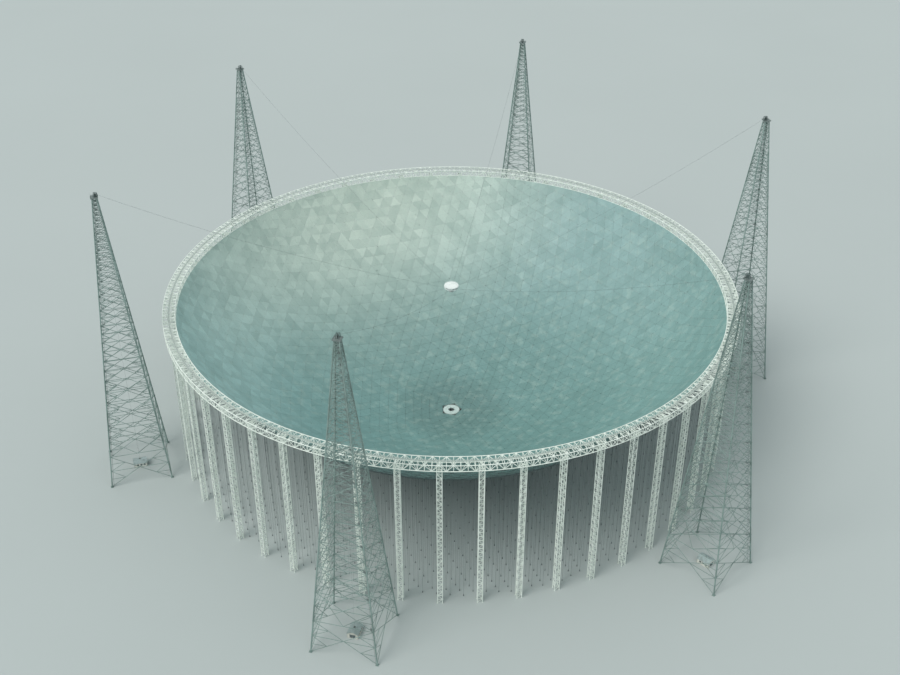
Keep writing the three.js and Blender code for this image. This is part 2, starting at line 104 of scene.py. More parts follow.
BAY = 2 * pi / COLUMNS
FRONT = -QUARTER_TURN
FIRST_COLUMN = FRONT - BAY / 4
COLUMNS_PER_SECTOR = COLUMNS // RING_SECTORS
RING_OUTER_RADIUS = RING_INNER_RADIUS + RING_WIDTH
COLUMN_RADIUS = RING_INNER_RADIUS + RING_WIDTH / 2
HIGH_CHORD_Z = RING_TOP_Z - CHORD / 2
LOW_CHORD_Z = HIGH_CHORD_Z - 5.5 * M
SPHERE_CENTRE = Vector((0, 0, VERTEX_Z + SPHERE_RADIUS))
CABIN_Z = CABIN_DRUM_TOP_Z - CABIN_DRUM_HEIGHT / 2
CABIN_DRUM_BOTTOM_Z = CABIN_DRUM_TOP_Z - CABIN_DRUM_HEIGHT
TOWER_AXIS = Vector((TOWER_CIRCLE_RADIUS, 0, 0))
DECK_Z = TOWER_TOP_Z + SEAM + DECK_THICKNESS
SHEAVE_TURN_RADIUS = SHEAVE_RADIUS + SEAM + CABLE_DIAMETER / 2
SHEAVE_CENTRE = Vector((TOWER_CIRCLE_RADIUS - SHEAVE_TURN_RADIUS, 0, DECK_Z + SHEAVE_LIFT))

RAIL_HEIGHT = 1.1 * M
RAIL_POST = 0.06 * M
RAIL = 0.8 * RAIL_POST


# Ways to shape and place a piece


shift = Matrix.Translation


def turn(angle):
    return Matrix.Rotation(angle, 4, "Z")


def polar(radius, angle, z):
    return Vector((radius * cos(angle), radius * sin(angle), z))


def even_angles(count, first):
    return [first + i * 2 * pi / count for i in range(count)]


TOWER_ANGLES = even_angles(TOWERS, FRONT)


def strut(shape, start, end, width, sides=6, depth=None):
    """A straight closed bar. Its width is level, and its depth is upright where it is given."""
    along = (end - start).normalized()
    level = UP.cross(along)
    if level.length < 1e-4:
        level = ACROSS.copy()
    level.normalize()
    place = Matrix((level, along.cross(level), along)).transposed().to_4x4()
    place.translation = (start + end) / 2
    flatten = Matrix.Diagonal((1, (depth or width) / width, 1, 1))
    radius = width / 2 / cos(pi / sides)
    bmesh.ops.create_cone(shape, cap_ends=True, segments=sides, radius1=radius, radius2=radius,
                          depth=(end - start).length, matrix=place @ flatten @ turn(pi / sides))


def stub(shape, centre, half, width, sides):
    """A bar by its middle and half of its run."""
    strut(shape, centre - half, centre + half, width, sides)


def plate(shape, centre, size, angle=0):
    """A box by its sizes, turned about its own upright axis."""
    place = shift(centre) @ turn(angle) @ Matrix.Diagonal((*size, 1))
    bmesh.ops.create_cube(shape, size=1, matrix=place)


def foot_plate(shape, place, width, thickness, fin_thickness, fin_height):
    """A square plate on the floor with two crossed fins on it, round a leg."""
    plate(shape, place + UP * thickness / 2, (width, width, thickness))
    for angle in (0, QUARTER_TURN):
        fin = place + UP * (thickness + fin_height / 2)
        plate(shape, fin, (0.9 * width, fin_thickness, fin_height), angle)


def slab(shape, corners, thickness):
    """A flat sheet with its thickness behind it. Its corners run counterclockwise seen from its face."""
    sheet = bmesh.new()
    sheet.faces.new([sheet.verts.new(corner) for corner in corners])
    sheet.normal_update()
    bmesh.ops.solidify(sheet, geom=sheet.faces[:], thickness=thickness)
    join(shape, sheet)


def repeat(shape, count, angle, centre=(0, 0, 0)):
    """Repeats a whole shape about an upright axis, count in all."""
    geometry = shape.verts[:] + shape.edges[:] + shape.faces[:]
    bmesh.ops.spin(shape, geom=geometry, cent=centre, axis=UP, angle=angle * (count - 1), steps=count - 1,
                   use_duplicate=True)


def band(inner, outer, low, high):
    """The corners of a rectangle in two measures, such as radius and height, counterclockwise."""
    return [(inner, low), (outer, low), (outer, high), (inner, high)]


def turned(profile, steps, place=Matrix()):
    """A profile of (radius, height) turned about an axis. It closes on itself or starts on the axis."""
    shape = bmesh.new()
    corners = [shape.verts.new((radius, 0, height)) for radius, height in profile]
    following = corners[1:] + (corners[:1] if profile[0][0] else [])
    edges = [shape.edges.new(ends) for ends in zip(corners, following)]
    bmesh.ops.spin(shape, geom=corners + edges, cent=(0, 0, 0), axis=UP, angle=2 * pi, steps=steps,
                   use_merge=True)
    bmesh.ops.remove_doubles(shape, verts=shape.verts, dist=1e-6)
    bmesh.ops.recalc_face_normals(shape, faces=shape.faces)
    shape.transform(place)
    return shape


def join(shape, part, *places):
    """Adds a part to a shape, once at each place, and frees the part."""
    mesh = bpy.data.meshes.new("part")
    part.to_mesh(mesh)
    part.free()
    for place in places or (Matrix(),):
        copy = mesh.copy()
        copy.transform(place)
        shape.from_mesh(copy)
        bpy.data.meshes.remove(copy)
    bpy.data.meshes.remove(mesh)


def rope(points, diameter):
    """A round rope through a list of points."""
    curve = bpy.data.curves.new("rope", "CURVE")
    curve.dimensions = "3D"
    curve.bevel_depth = diameter / 2
    curve.bevel_resolution = 1
    curve.use_fill_caps = True
    spline = curve.splines.new("POLY")
    spline.points.add(len(points) - 1)
    for point, place in zip(spline.points, points):
        point.co = (*place, 1)
    carrier = bpy.data.objects.new("rope", curve)
    mesh = carrier.to_mesh()
    shape = bmesh.new()
    shape.from_mesh(mesh)
    carrier.to_mesh_clear()
    bpy.data.objects.remove(carrier)
    bpy.data.curves.remove(curve)
    return shape


def railing(shape, start, end, spacing=1.6 * M, rail=RAIL, last_post=False):
    """Posts, a knee rail and a handrail between two points. The run that follows brings the end's post."""
    count = max(1, round((end - start).length / spacing))
    for i in range(count + last_post):
        foot = start.lerp(end, i / count)
        strut(shape, foot, foot + UP * RAIL_HEIGHT, RAIL_POST, 4)
    for share in (0.5, 1):
        lift = UP * RAIL_HEIGHT * share
        strut(shape, start + lift, end + lift, rail, 4)


def placed(name, data):
    """A new object in the scene's collection."""
    item = bpy.data.objects.new(name, data)
    bpy.context.collection.objects.link(item)
    return item


def add_piece(shape, name, material, angle=0, nodes=()):
    """Makes a piece of a shape, at an angle about the bowl's axis, in place of the CAD nodes named."""
    mesh = bpy.data.meshes.new(name)
    shape.to_mesh(mesh)
    mesh.transform(turn(angle))
    mesh.materials.append(material)
    mesh.shade_smooth()
    mesh.set_sharp_from_angle(angle=SMOOTH_ANGLE)
    piece = placed(name, mesh)
    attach(piece, BODY)
    if nodes:
        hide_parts(*nodes)


def add_pieces(shape, name, material, node=None, angles=TOWER_ANGLES):
    """Makes one numbered piece at each angle, at the towers if no others are given, and frees the shape."""
    for i, angle in enumerate(angles, 1):
        add_piece(shape, f"{name}_{i}", material, angle, (f"{node}_{i}",) if node else ())
    shape.free()


# Finishes


def tint(red, green, blue):
    """A colour from the 0 to 255 values that a screen shows."""
    def linear(value):
        value /= 255
        return value / 12.92 if value <= 0.04045 else ((value + 0.055) / 1.055) ** 2.4
    return (linear(red), linear(green), linear(blue), 1)


class Finish:
    """A material on one shader, with short ways to add the nodes that drive its colour and bump.
    A colour is a node's output or its 0 to 255 values, and a share runs from 0 to 1 over the piece."""

    def __init__(self, name, roughness, metallic=0.0):
        self.material = bpy.data.materials.new(name)
        self.material.use_nodes = True
        self.tree = self.material.node_tree
        self.shader = self.tree.nodes["Principled BSDF"]
        self.feed(self.shader, {"Roughness": roughness, "Metallic": metallic})
        self.place = self.node("ShaderNodeTexCoord", "Object")

    def feed(self, node, values):
        """Sets a node's inputs, or links them to the outputs of other nodes."""
        for key, value in values.items():
            if isinstance(value, bpy.types.NodeSocket):
                self.tree.links.new(value, node.inputs[key])
            else:
                node.inputs[key].default_value = value

    def node(self, kind, output, values=None, **settings):
        """Adds a node with its settings and inputs, and gives one of its outputs."""
        node = self.tree.nodes.new(kind)
        for setting, value in settings.items():
            setattr(node, setting, value)
        self.feed(node, values or {})
        return node.outputs[output]

    def math(self, operation, a, b=0.0):
        return self.node("ShaderNodeMath", 0, {0: a, 1: b}, operation=operation)

    def along(self, direction, place=None):
        """How far a point lies along a direction."""
        values = {0: place or self.place, 1: direction}
        return self.node("ShaderNodeVectorMath", "Value", values, operation="DOT_PRODUCT")

    def spread(self, value, low, high, first=0.0, last=1.0):
        """Brings a range of values to another, smoothly."""
        values = dict(enumerate((value, low, high, first, last)))
        return self.node("ShaderNodeMapRange", 0, values, interpolation_type="SMOOTHSTEP")

    def noise(self, scale, detail=3.0, stretch=(1, 1, 1)):
        """Noise on the model's own coordinates; a larger stretch makes it finer along that axis."""
        place = self.node("ShaderNodeMapping", 0, {"Vector": self.place, "Scale": stretch})
        return self.node("ShaderNodeTexNoise", "Fac", {"Vector": place, "Scale": scale, "Detail": detail})

    def mix(self, share, first, last):
        first, last = (tint(*colour) if isinstance(colour, tuple) else colour for colour in (first, last))
        values = {"Factor": share, "A": first, "B": last}
        return self.node("ShaderNodeMix", "Result", values, data_type="RGBA")

    def layer(self, base, share, strength, colour):
        """Lays a colour over a base."""
        return self.mix(self.math("MULTIPLY", share, strength), base, colour)

    def colour(self, value):
        self.feed(self.shader, {"Base Color": value})

    def rough(self, share, low, high):
        self.feed(self.shader, {"Roughness": self.spread(share, 0.0, 1.0, low, high)})

    def bump(self, height, strength, distance):
        values = {"Height": height, "Strength": strength, "Distance": distance}
        self.feed(self.shader, {"Normal": self.node("ShaderNodeBump", 0, values)})


def sheet_lines(finish):
    """The joints of the small sheets that make up a panel, which run along its three edges."""
    sheets = finish.node("ShaderNodeUVMap", 0, uv_map="sheets")
    lines = 0.0
    for direction in ((1, 0, 0), (0, 1, 0), (1, 1, 0)):
        share = finish.math("FRACT", finish.along(direction, sheets))
        edge = finish.math("PINGPONG", share, 0.5)
        line = finish.spread(edge, 0.015, 0.035, 1.0, 0.0)
        lines = finish.math("MAXIMUM", lines, line)
    return lines


def panel_finish():
    """Matt perforated aluminium in small sheets, mottled, with a painted sky reflection that lightens the
    far side and warms the far left, painted light on the near left and painted shade low in the bowl.
    """
    finish = Finish("perforated_aluminium", 0.7, 0.08)
    # painted sky reflection: the bowl grows lighter towards its far side
    far_side_sky_reflection = finish.spread(finish.along((-0.3, 0.95, 0.1)), -7.0, 13.0)
    # painted sky reflection: warmer on the far left
    far_left_warm_reflection = finish.spread(finish.along((-0.85, 0.5, 0)), 0.5, 11.5)
    leftward = finish.along((-0.88, -0.47, 0))
    height = finish.along((0, 0, 1))
    broad = finish.spread(finish.noise(0.35, 5), 0.38, 0.68)
    tone = finish.node("ShaderNodeAttribute", "Fac", attribute_name="tone")
    layers = [
        # painted light: lighter towards the near left, lifting the shade that falls there
        (finish.spread(leftward, 0.0, 10.5), 0.65, (168, 210, 210)),
        (finish.spread(leftward, 7.0, 11.0), 0.5, (196, 226, 222)),
        # painted reflection: a warm tint over the far left
        (far_left_warm_reflection, far_side_sky_reflection, (214, 226, 214)),
        # painted shade: darker low in the bowl, and darker again near its bottom
        (finish.spread(height, 0.8, 4.5, 1.0, 0.0), 0.42, (88, 132, 130)),
        (finish.spread(height, 0.28, 0.6, 1.0, 0.0), 0.35, (80, 100, 98)),
        (broad, 0.1, (112, 144, 138)),
        (finish.spread(finish.noise(1.1, 5), 0.46, 0.66), 0.14, (100, 132, 126)),
        (finish.spread(finish.noise(2.6, 6), 0.48, 0.7), 0.24, (190, 210, 200)),
        (tone, 0.25, (96, 126, 122)),
        (finish.spread(finish.noise(5.2, 4), 0.7, 0.76), 0.45, (84, 104, 100)),
        (sheet_lines(finish), 0.4, (92, 108, 104)),
    ]
    # base colour lighter towards the far side, a painted sky reflection
    colour = finish.mix(far_side_sky_reflection, (133, 173, 169), (156, 184, 184))
    for layer in layers:
        colour = finish.layer(colour, *layer)
    finish.colour(colour)
    finish.rough(broad, 0.66, 0.78)
    finish.bump(finish.noise(7.0, 2), 0.12, 0.02)
    return finish.material


def paint_finish(name, clean, worn, roughness=0.5, share=0.35, metallic=0.0):
    """Paint with grime in patches, run-off streaks down the steel, small stains and an orange-peel bump."""
    finish = Finish(name, roughness, metallic)
    patches = finish.spread(finish.noise(1.4, 5), 0.42, 0.68)
    streaks = finish.spread(finish.noise(9.0, 4, (1, 1, 0.12)), 0.46, 0.7)
    stains = finish.spread(finish.noise(22.0, 5), 0.54, 0.7)
    grime = finish.layer(clean, finish.math("MAXIMUM", patches, streaks), share, worn)
    finish.colour(finish.layer(grime, stains, 0.8 * share, worn))
    finish.rough(patches, roughness - 0.07, roughness + 0.12)
    finish.bump(finish.noise(60.0, 3), 0.15, 0.004)
    return finish.material


def galvanised_finish(name, light, dark, roughness=0.45):
    """Zinc spangle: cells of two greys under a duller bloom."""
    finish = Finish(name, roughness, 0.7)
    cells = finish.node("ShaderNodeTexVoronoi", "Color", {"Vector": finish.place, "Scale": 110.0})
    spangle = finish.along((0.4, 0.3, 0.3), cells)
    bloom = finish.spread(finish.noise(3.0, 5), 0.4, 0.7)
    finish.colour(finish.layer(finish.mix(spangle, light, dark), bloom, 0.5, dark))
    finish.rough(bloom, roughness, roughness + 0.2)
    finish.bump(finish.noise(80.0, 2), 0.1, 0.003)
    return finish.material


def glass_finish():
    finish = Finish("window_glass", 0.12)
    finish.colour(finish.mix(finish.noise(4.0, 2), (38, 52, 58), (66, 82, 88)))
    finish.bump(finish.noise(12.0, 1), 0.05, 0.002)
    return finish.material


PANELS = panel_finish()
BACK_STEEL = galvanised_finish("galvanised_back_frames", (150, 160, 160), (108, 120, 120))
CABLE_STEEL = galvanised_finish("galvanised_rope", (150, 156, 158), (98, 106, 108), 0.4)
DECK_STEEL = galvanised_finish("galvanised_grating", (168, 176, 174), (126, 138, 136), 0.5)
WALKWAY_STEEL = galvanised_finish("galvanised_walkway", (222, 228, 222), (186, 196, 190), 0.55)
RING_WHITE = paint_finish("ring_off_white", (244, 250, 243), (190, 204, 192))
TOWER_GREY = paint_finish("tower_grey", (142, 163, 158), (88, 106, 100), 0.5, 0.55)
HEAD_GREY = paint_finish("head_grey", (96, 112, 110), (54, 64, 62), 0.5, 0.55)
CABIN_WHITE = paint_finish("cabin_white", (244, 248, 246), (206, 214, 210), 0.38, 0.3)
DOCK_WHITE = paint_finish("dock_white", (208, 222, 218), (158, 172, 166), 0.5, 0.4)
CABIN_GREY = paint_finish("cabin_grey", (172, 180, 180), (130, 140, 138), 0.42, 0.35)
HOUSE_WHITE = paint_finish("house_render", (226, 226, 218), (158, 160, 146), 0.75, 0.45)
HOUSE_ROOF = paint_finish("house_roof_sheet", (182, 196, 196), (122, 134, 130), 0.42, 0.45, 0.2)
DOOR_GREY = paint_finish("door_grey", (98, 110, 112), (70, 80, 80), 0.5, 0.4)
GLASS = glass_finish()


# Reflector: panels on a geodesic grid, their back frames, the cable net and its tie-downs

REFLECTOR_SECTORS = 5
SECTOR_EDGE = pi / REFLECTOR_SECTORS  # from a fifth's middle to its sides
GRID_LEVEL = 6  # halves an icosahedron's edges five times, which makes 32 panels along each
SHEETS = 10  # small sheets along a panel's edge
OPENING_MARGIN = 0.1 * M
PANEL_GAP = 0.14 * M
PANEL_THICKNESS = 0.12 * M
BACK_FRAME_DROP = 0.3 * M
BACK_FRAME_DEPTH = 1 * M
BACK_BAR = 0.1 * M
NET_DROP = 0.75 * M
NET_CABLE = 0.16 * M
TIE_ROD = 0.08 * M
RIM_MARGIN = 0.5 * M  # knots nearer to the rim's level have no tie-down
ACTUATOR_WIDTH = 0.4 * M
ACTUATOR_HEIGHT = 1.6 * M
ACTUATOR_PLATE = 0.16 * M


def reflector_grid():
    """A fifth of the bowl in triangles, clear of the central opening and cut off at the rim."""
    grid = bmesh.new()
    bmesh.ops.create_icosphere(grid, subdivisions=GRID_LEVEL, radius=SPHERE_RADIUS)
    bmesh.ops.translate(grid, verts=grid.verts, vec=SPHERE_CENTRE)
    outside = []
    for face in grid.faces:
        x, y, z = face.calc_center_median()
        aside = abs(atan2(y, x)) > SECTOR_EDGE
        if aside or hypot(x, y) < CENTRE_OPENING_RADIUS or z > RING_TOP_Z:
            outside.append(face)
    bmesh.ops.delete(grid, geom=outside, context="FACES")
    corner_radius = (CENTRE_OPENING_RADIUS + OPENING_MARGIN) / cos(SECTOR_EDGE)
    for knot in grid.verts:
        if hypot(knot.co.x, knot.co.y) < corner_radius:
            knot.co.xy = knot.co.xy.normalized() * corner_radius
            knot.co.z = SPHERE_CENTRE.z - sqrt(SPHERE_RADIUS ** 2 - corner_radius ** 2)
    sheets = grid.loops.layers.uv.new("sheets")
    for face in grid.faces:
        for loop, corner in zip(face.loops, ((0, 0), (SHEETS, 0), (0, SHEETS))):
            loop[sheets].uv = corner
    geometry = grid.verts[:] + grid.edges[:] + grid.faces[:]
    bmesh.ops.bisect_plane(grid, geom=geometry, plane_co=(0, 0, RIM_Z), plane_no=UP, clear_outer=True)
    return grid


def lowered(grid, drop):
    """A copy of the grid, moved out from the sphere's centre."""
    copy = grid.copy()
    share = (SPHERE_RADIUS + drop) / SPHERE_RADIUS
    bmesh.ops.scale(copy, vec=(share, share, share), verts=copy.verts, space=shift(-SPHERE_CENTRE))
    return copy


def panels(grid, chance):
    """Thin panels with gaps between them, each with a tone of its own."""
    shape = grid.copy()
    tone = shape.faces.layers.float.new("tone")
    for face in shape.faces:
        face[tone] = chance.random()
    bmesh.ops.split_edges(shape, edges=shape.edges)
    seams = bmesh.ops.inset_individual(shape, faces=shape.faces, thickness=PANEL_GAP / 2,
                                       use_even_offset=True, use_interpolate=True)
    bmesh.ops.delete(shape, geom=seams["faces"], context="FACES")
    bmesh.ops.reverse_faces(shape, faces=shape.faces)
    bmesh.ops.solidify(shape, geom=shape.faces[:], thickness=PANEL_THICKNESS)
    return shape


def bars(shape, thickness):
    """Turns every edge of a shape into a bar."""
    bmesh.ops.wireframe(shape, faces=shape.faces, thickness=thickness, use_boundary=True, use_replace=True)
    return shape


def back_frames(grid):
    """The edge beams of every panel and three struts to the foot of its back frame."""
    shape = lowered(grid, BACK_FRAME_DROP)
    bmesh.ops.poke(shape, faces=shape.faces, offset=BACK_FRAME_DEPTH, center_mode="MEAN")
    return bars(shape, BACK_BAR)


def tie_downs(grid):
    """A tie rod from every knot of the net down to an actuator on the floor."""
    knots = lowered(grid, NET_DROP)
    margin = 1e-4  # a knot on the seam between two fifths belongs to one of them
    feet = [knot.co.copy() for knot in knots.verts if knot.co.z < RIM_Z - RIM_MARGIN
            and -SECTOR_EDGE + margin < atan2(knot.co.y, knot.co.x) < SECTOR_EDGE + margin]
    knots.free()
    rod, actuator = bmesh.new(), bmesh.new()
    strut(rod, Vector(), UP.copy(), TIE_ROD, 3)
    strut(actuator, Vector(), UP * ACTUATOR_HEIGHT, ACTUATOR_WIDTH, 6)
    plate(actuator, UP * ACTUATOR_PLATE / 2, (2 * ACTUATOR_WIDTH, 2 * ACTUATOR_WIDTH, ACTUATOR_PLATE))
    shape = bmesh.new()
    join(shape, rod, *(shift((x, y, 0)) @ Matrix.Diagonal((1, 1, z, 1)) for x, y, z in feet))
    join(shape, actuator, *(shift((x, y, 0)) for x, y, z in feet))
    return shape


def add_reflector():
    grid = reflector_grid()
    chance = random.Random(5)
    rods = tie_downs(grid)
    angles = even_angles(REFLECTOR_SECTORS, FIRST_COLUMN)
    for i, angle in enumerate(angles, 1):
        shape = panels(grid, chance)
        nodes = (f"reflector_inner_{i}", f"reflector_middle_{i}",
                 f"reflector_outer_{2 * i - 1}", f"reflector_outer_{2 * i}")
        add_piece(shape, f"reflector_panels_{i}", PANELS, angle, nodes)
        shape.free()
        add_piece(rods, f"tie_downs_{i}", CABLE_STEEL, angle, nodes)
    rods.free()
    add_pieces(back_frames(grid), "panel_back_frames", BACK_STEEL, angles=angles)
    add_pieces(bars(lowered(grid, NET_DROP), NET_CABLE), "cable_net", CABLE_STEEL, angles=angles)
    grid.free()


# Ring truss, its walkway and its columns: six truss panels to each bay between columns

BAY_PANELS = 6
STEP = BAY / BAY_PANELS
SECTOR_START = -COLUMNS_PER_SECTOR * BAY / 2
RING_TUBE = 0.7 * M
RING_POST = 0.46 * M
RING_LACING = 0.42 * M
COLUMN_LEG = 0.6 * M
COLUMN_STOREY = 4.2 * M
COLUMN_LACING = 0.28 * M
BEARING = 0.8 * M
FOOT_PLATE = 0.95 * M
FOOT_PLATE_THICKNESS = 0.15 * M
WALKWAY_WIDTH = 1.3 * M
WALKWAY_THICKNESS = 0.12 * M
WALKWAY_POST_SPACING = 5.4 * M


def ring_truss():
    """Chords, posts, ties and zigzag lacing on all four sides. Two truss panels are built and repeated."""
    truss = bmesh.new()
    lines = [(RING_INNER_RADIUS, LOW_CHORD_Z), (RING_INNER_RADIUS, HIGH_CHORD_Z),
             (RING_OUTER_RADIUS, HIGH_CHORD_Z), (RING_OUTER_RADIUS, LOW_CHORD_Z)]
    for i in range(2):
        here, there = SECTOR_START + i * STEP, SECTOR_START + (i + 1) * STEP
        for k, (radius, z) in enumerate(lines):
            next_radius, next_z = lines[(k + 1) % 4]
            start, end = (here, there) if (i + k) % 2 else (there, here)
            strut(truss, polar(radius, here, z), polar(radius, there, z), RING_TUBE, 8)
            strut(truss, polar(radius, here, z), polar(next_radius, here, next_z), RING_POST, 6)
            strut(truss, polar(radius, start, z), polar(next_radius, end, next_z), RING_LACING, 6)
    repeat(truss, COLUMNS_PER_SECTOR * BAY_PANELS // 2, 2 * STEP)
    return truss


def ring_walkway():
    """A grated walkway with handrails along the top of the truss, over its middle."""
    walkway = bmesh.new()

    def ends(aside):
        radius, z = COLUMN_RADIUS + aside, HIGH_CHORD_Z + RING_POST / 2
        return [polar(radius, angle, z) for angle in (SECTOR_START, SECTOR_START + STEP)]

    strut(walkway, *ends(0), WALKWAY_WIDTH, 4, WALKWAY_THICKNESS)
    for aside in (-WALKWAY_WIDTH / 2, WALKWAY_WIDTH / 2):
        railing(walkway, *ends(aside), WALKWAY_POST_SPACING, RAIL_POST)
    repeat(walkway, COLUMNS_PER_SECTOR * BAY_PANELS, STEP)
    return walkway


def column():
    """Four legs laced on every side, foot plates, and the beams and bearings under the ring."""
    shape = bmesh.new()
    half = COLUMN_SPREAD / 2
    top = LOW_CHORD_Z - CHORD / 2 - BEARING
    storeys = round(top / COLUMN_STOREY)

    def at(out, side, z):
        return Vector((COLUMN_RADIUS + out * half, side * half, z))

    strut(shape, at(1, 1, 0), at(1, 1, top + BEARING), COLUMN_LEG, 8)
    foot_plate(shape, at(1, 1, 0), FOOT_PLATE, FOOT_PLATE_THICKNESS, 0.1 * COLUMN_LEG, FOOT_PLATE / 2)
    for i in range(storeys):
        low, high = max(top * i / storeys, 2 * FOOT_PLATE_THICKNESS), top * (i + 1) / storeys
        side = 1 if i % 2 else -1
        strut(shape, at(1, -1, high), at(1, 1, high), COLUMN_LACING, 4)
        strut(shape, at(1, side, low), at(1, -side, high), COLUMN_LACING, 4)
    repeat(shape, 4, QUARTER_TURN, (COLUMN_RADIUS, 0, 0))
    for side in (-1, 1):
        radii = (RING_INNER_RADIUS, RING_OUTER_RADIUS)
        beam = [Vector((radius, side * half, LOW_CHORD_Z)) for radius in radii]
        strut(shape, *beam, 0.8 * CHORD, 4, CHORD)
        strut(shape, at(side, -1, top + BEARING / 2), at(side, 1, top + BEARING / 2), COLUMN_LEG, 4)
    return shape


def add_ring():
    middle = (COLUMNS_PER_SECTOR - 1) / 2
    angles = even_angles(RING_SECTORS, FIRST_COLUMN + middle * BAY)
    sector = ring_truss()
    join(sector, column(), *(turn((i - middle) * BAY) for i in range(COLUMNS_PER_SECTOR)))
    add_pieces(sector, "ring_truss", RING_WHITE, "ring_sector", angles)
    add_pieces(ring_walkway(), "ring_walkway", WALKWAY_STEEL, angles=angles)


# Cable towers: four leaning legs with crossed bracing in storeys that grow taller with their width

TOWER_STOREYS = 22
TALL_STOREYS = 15  # storeys from the ground up that have redundant bracing
TOWER_BRACE = 0.38  # share of the leg's width
TOWER_FLANGE = 0.45 * M
FOOT_LIFT = 0.15 * M  # keeps the cut end of a leaning leg inside its foot plate
TOWER_FOOT_PLATE = 2.6 * M
TOWER_FOOT_THICKNESS = 0.2 * M
TOWER_FIN = (0.1 * M, 1 * M)
LADDER_INSET = 1.6 * M
LADDER_WIDTH = 0.6 * M
LADDER_STILE = 0.096 * M
LADDER_RUNG = 0.06 * M
LADDER_RUNG_STEP = 0.9 * M
LANDING = 2.2 * M
LANDING_THICKNESS = 0.1 * M
TAPER_RATIO = TOWER_TOP_WIDTH / TOWER_FOOT_WIDTH
TOWER_LEVELS = [TOWER_TOP_Z * (1 - TAPER_RATIO ** (i / TOWER_STOREYS)) / (1 - TAPER_RATIO)
                for i in range(TOWER_STOREYS + 1)]


def leg_width(z):
    return TOWER_LEG * (1 - 0.3 * z / TOWER_TOP_Z)


def tower_half(z):
    """From the tower's axis to the middle of a leg, along each side."""
    width = TOWER_FOOT_WIDTH - (TOWER_FOOT_WIDTH - TOWER_TOP_WIDTH) * z / TOWER_TOP_Z
    return (width - TOWER_LEG) / 2


def tower_storey(index):
    """One storey: a leg, the crossed bracing of one side and a quarter of the plan bracing, repeated."""
    low, high = TOWER_LEVELS[index:index + 2]
    shape = bmesh.new()

    def at(side, share):
        z = low + (high - low) * share
        return TOWER_AXIS + Vector((tower_half(z), side * tower_half(z), z))

    leg = leg_width((low + high) / 2)
    brace = TOWER_BRACE * leg
    clear = 0 if index else 3 * FOOT_LIFT / (high - low)
    foot = at(1, clear / 3)
    strut(shape, foot, at(1, 1), leg, 8)
    flange = (at(1, 1) - at(1, 0)).normalized() * TOWER_FLANGE / 2
    strut(shape, foot, foot + flange, 1.4 * leg, 8)
    strut(shape, at(-1, 1), at(1, 1), brace, 6)
    strut(shape, at(-1, clear), at(1, 1), brace, 6)
    strut(shape, at(1, clear), at(-1, 1), brace, 6)
    strut(shape, at(0, 1), TOWER_AXIS + Vector((0, tower_half(high), high)), 0.8 * brace, 4)
    if index < TALL_STOREYS:
        crossing = tower_half(low) / (tower_half(low) + tower_half(high))
        strut(shape, at(-1, crossing), at(1, crossing), 0.8 * brace, 4)
        for side in (-1, 1):
            for end in (0, 1):
                knee = at(side, end).lerp(at(0, crossing), 0.5)
                strut(shape, knee, at(side, (crossing + end) / 2), 0.7 * brace, 4)
                strut(shape, knee, at(side, crossing), 0.7 * brace, 4)
    repeat(shape, 4, QUARTER_TURN, TOWER_AXIS)
    return shape


def tower_lattice():
    """The feet at the four corners, and every storey on them."""
    shape = bmesh.new()
    corner = TOWER_AXIS + Vector((tower_half(0), tower_half(0), 0))
    foot_plate(shape, corner, TOWER_FOOT_PLATE, TOWER_FOOT_THICKNESS, *TOWER_FIN)
    repeat(shape, 4, QUARTER_TURN, TOWER_AXIS)
    for index in range(TOWER_STOREYS):
        join(shape, tower_storey(index))
    return shape


def tower_ladder():
    """A ladder inside one leg, with a landing and a rail at every storey."""
    shape = bmesh.new()

    def at(z, aside=0.0):
        half = tower_half(z) - LADDER_INSET
        return TOWER_AXIS + Vector((half, half, z)) + Vector((-1, 1, 0)).normalized() * aside

    sides = (-LADDER_WIDTH / 2, LADDER_WIDTH / 2)
    for side in sides:
        strut(shape, at(FOOT_LIFT, side), at(TOWER_TOP_Z, side), LADDER_STILE, 4)
    rung = bmesh.new()
    strut(rung, *(at(0, side) for side in sides), LADDER_RUNG, 3)
    climb = at(TOWER_TOP_Z) - at(0)
    count = round(climb.length / LADDER_RUNG_STEP)
    join(shape, rung, *(shift(climb * i / count) for i in range(1, count)))
    for level in TOWER_LEVELS[1:-1]:
        middle = at(level) - Vector((1, 1, 0)).normalized() * LANDING / 2
        stub(shape, middle, UP * LANDING_THICKNESS / 2, LANDING, 4)
        corners = [middle + Vector((x, y, 0)) * LANDING / 2 for x, y in ((-1, 1), (-1, -1), (1, -1))]
        railing(shape, *corners[:2])
        railing(shape, *corners[1:], last_post=True)
    return shape


def add_towers():
    add_pieces(tower_lattice(), "tower_lattice", TOWER_GREY, "tower")
    add_pieces(tower_ladder(), "tower_ladder", DECK_STEEL)


# Tower heads: a railed deck with a well, and a grooved sheave between two cheeks under a hoist frame

GRATING = 0.12 * M
EDGE_BOARDS = ((-0.22, 0.16, 0.36), (0.1, 0.04, 0.2))  # lift, width and depth of beam and toe board
JOIST_PLACES = (0.3, 0.6)
GROOVE_WIDTH = 0.3 * M
CHEEK_THICKNESS = 0.14 * M
CHEEK_TOP_Z = SHEAVE_CENTRE.z + 0.35 * M
SHEAVE_STEPS = 32
HOIST_TOP_Z = DECK_Z + 3.4 * M
HOIST_REACH = 1.9 * M
HOIST_SPREAD = 1.1 * M
HOIST_TAPER = 0.7


def holed_plate(centre, width, hole, thickness):
    """A square plate with a square hole, its top at the centre given."""
    shape = bmesh.new()
    bmesh.ops.create_grid(shape, x_segments=1, y_segments=1, size=width / 2, matrix=shift(centre))
    middle = shape.faces[:]
    bmesh.ops.inset_region(shape, faces=middle, thickness=(width - hole) / 2, use_boundary=True,
                           use_even_offset=True)
    bmesh.ops.delete(shape, geom=middle, context="FACES")
    shape.normal_update()
    bmesh.ops.solidify(shape, geom=shape.faces[:], thickness=thickness)
    return shape


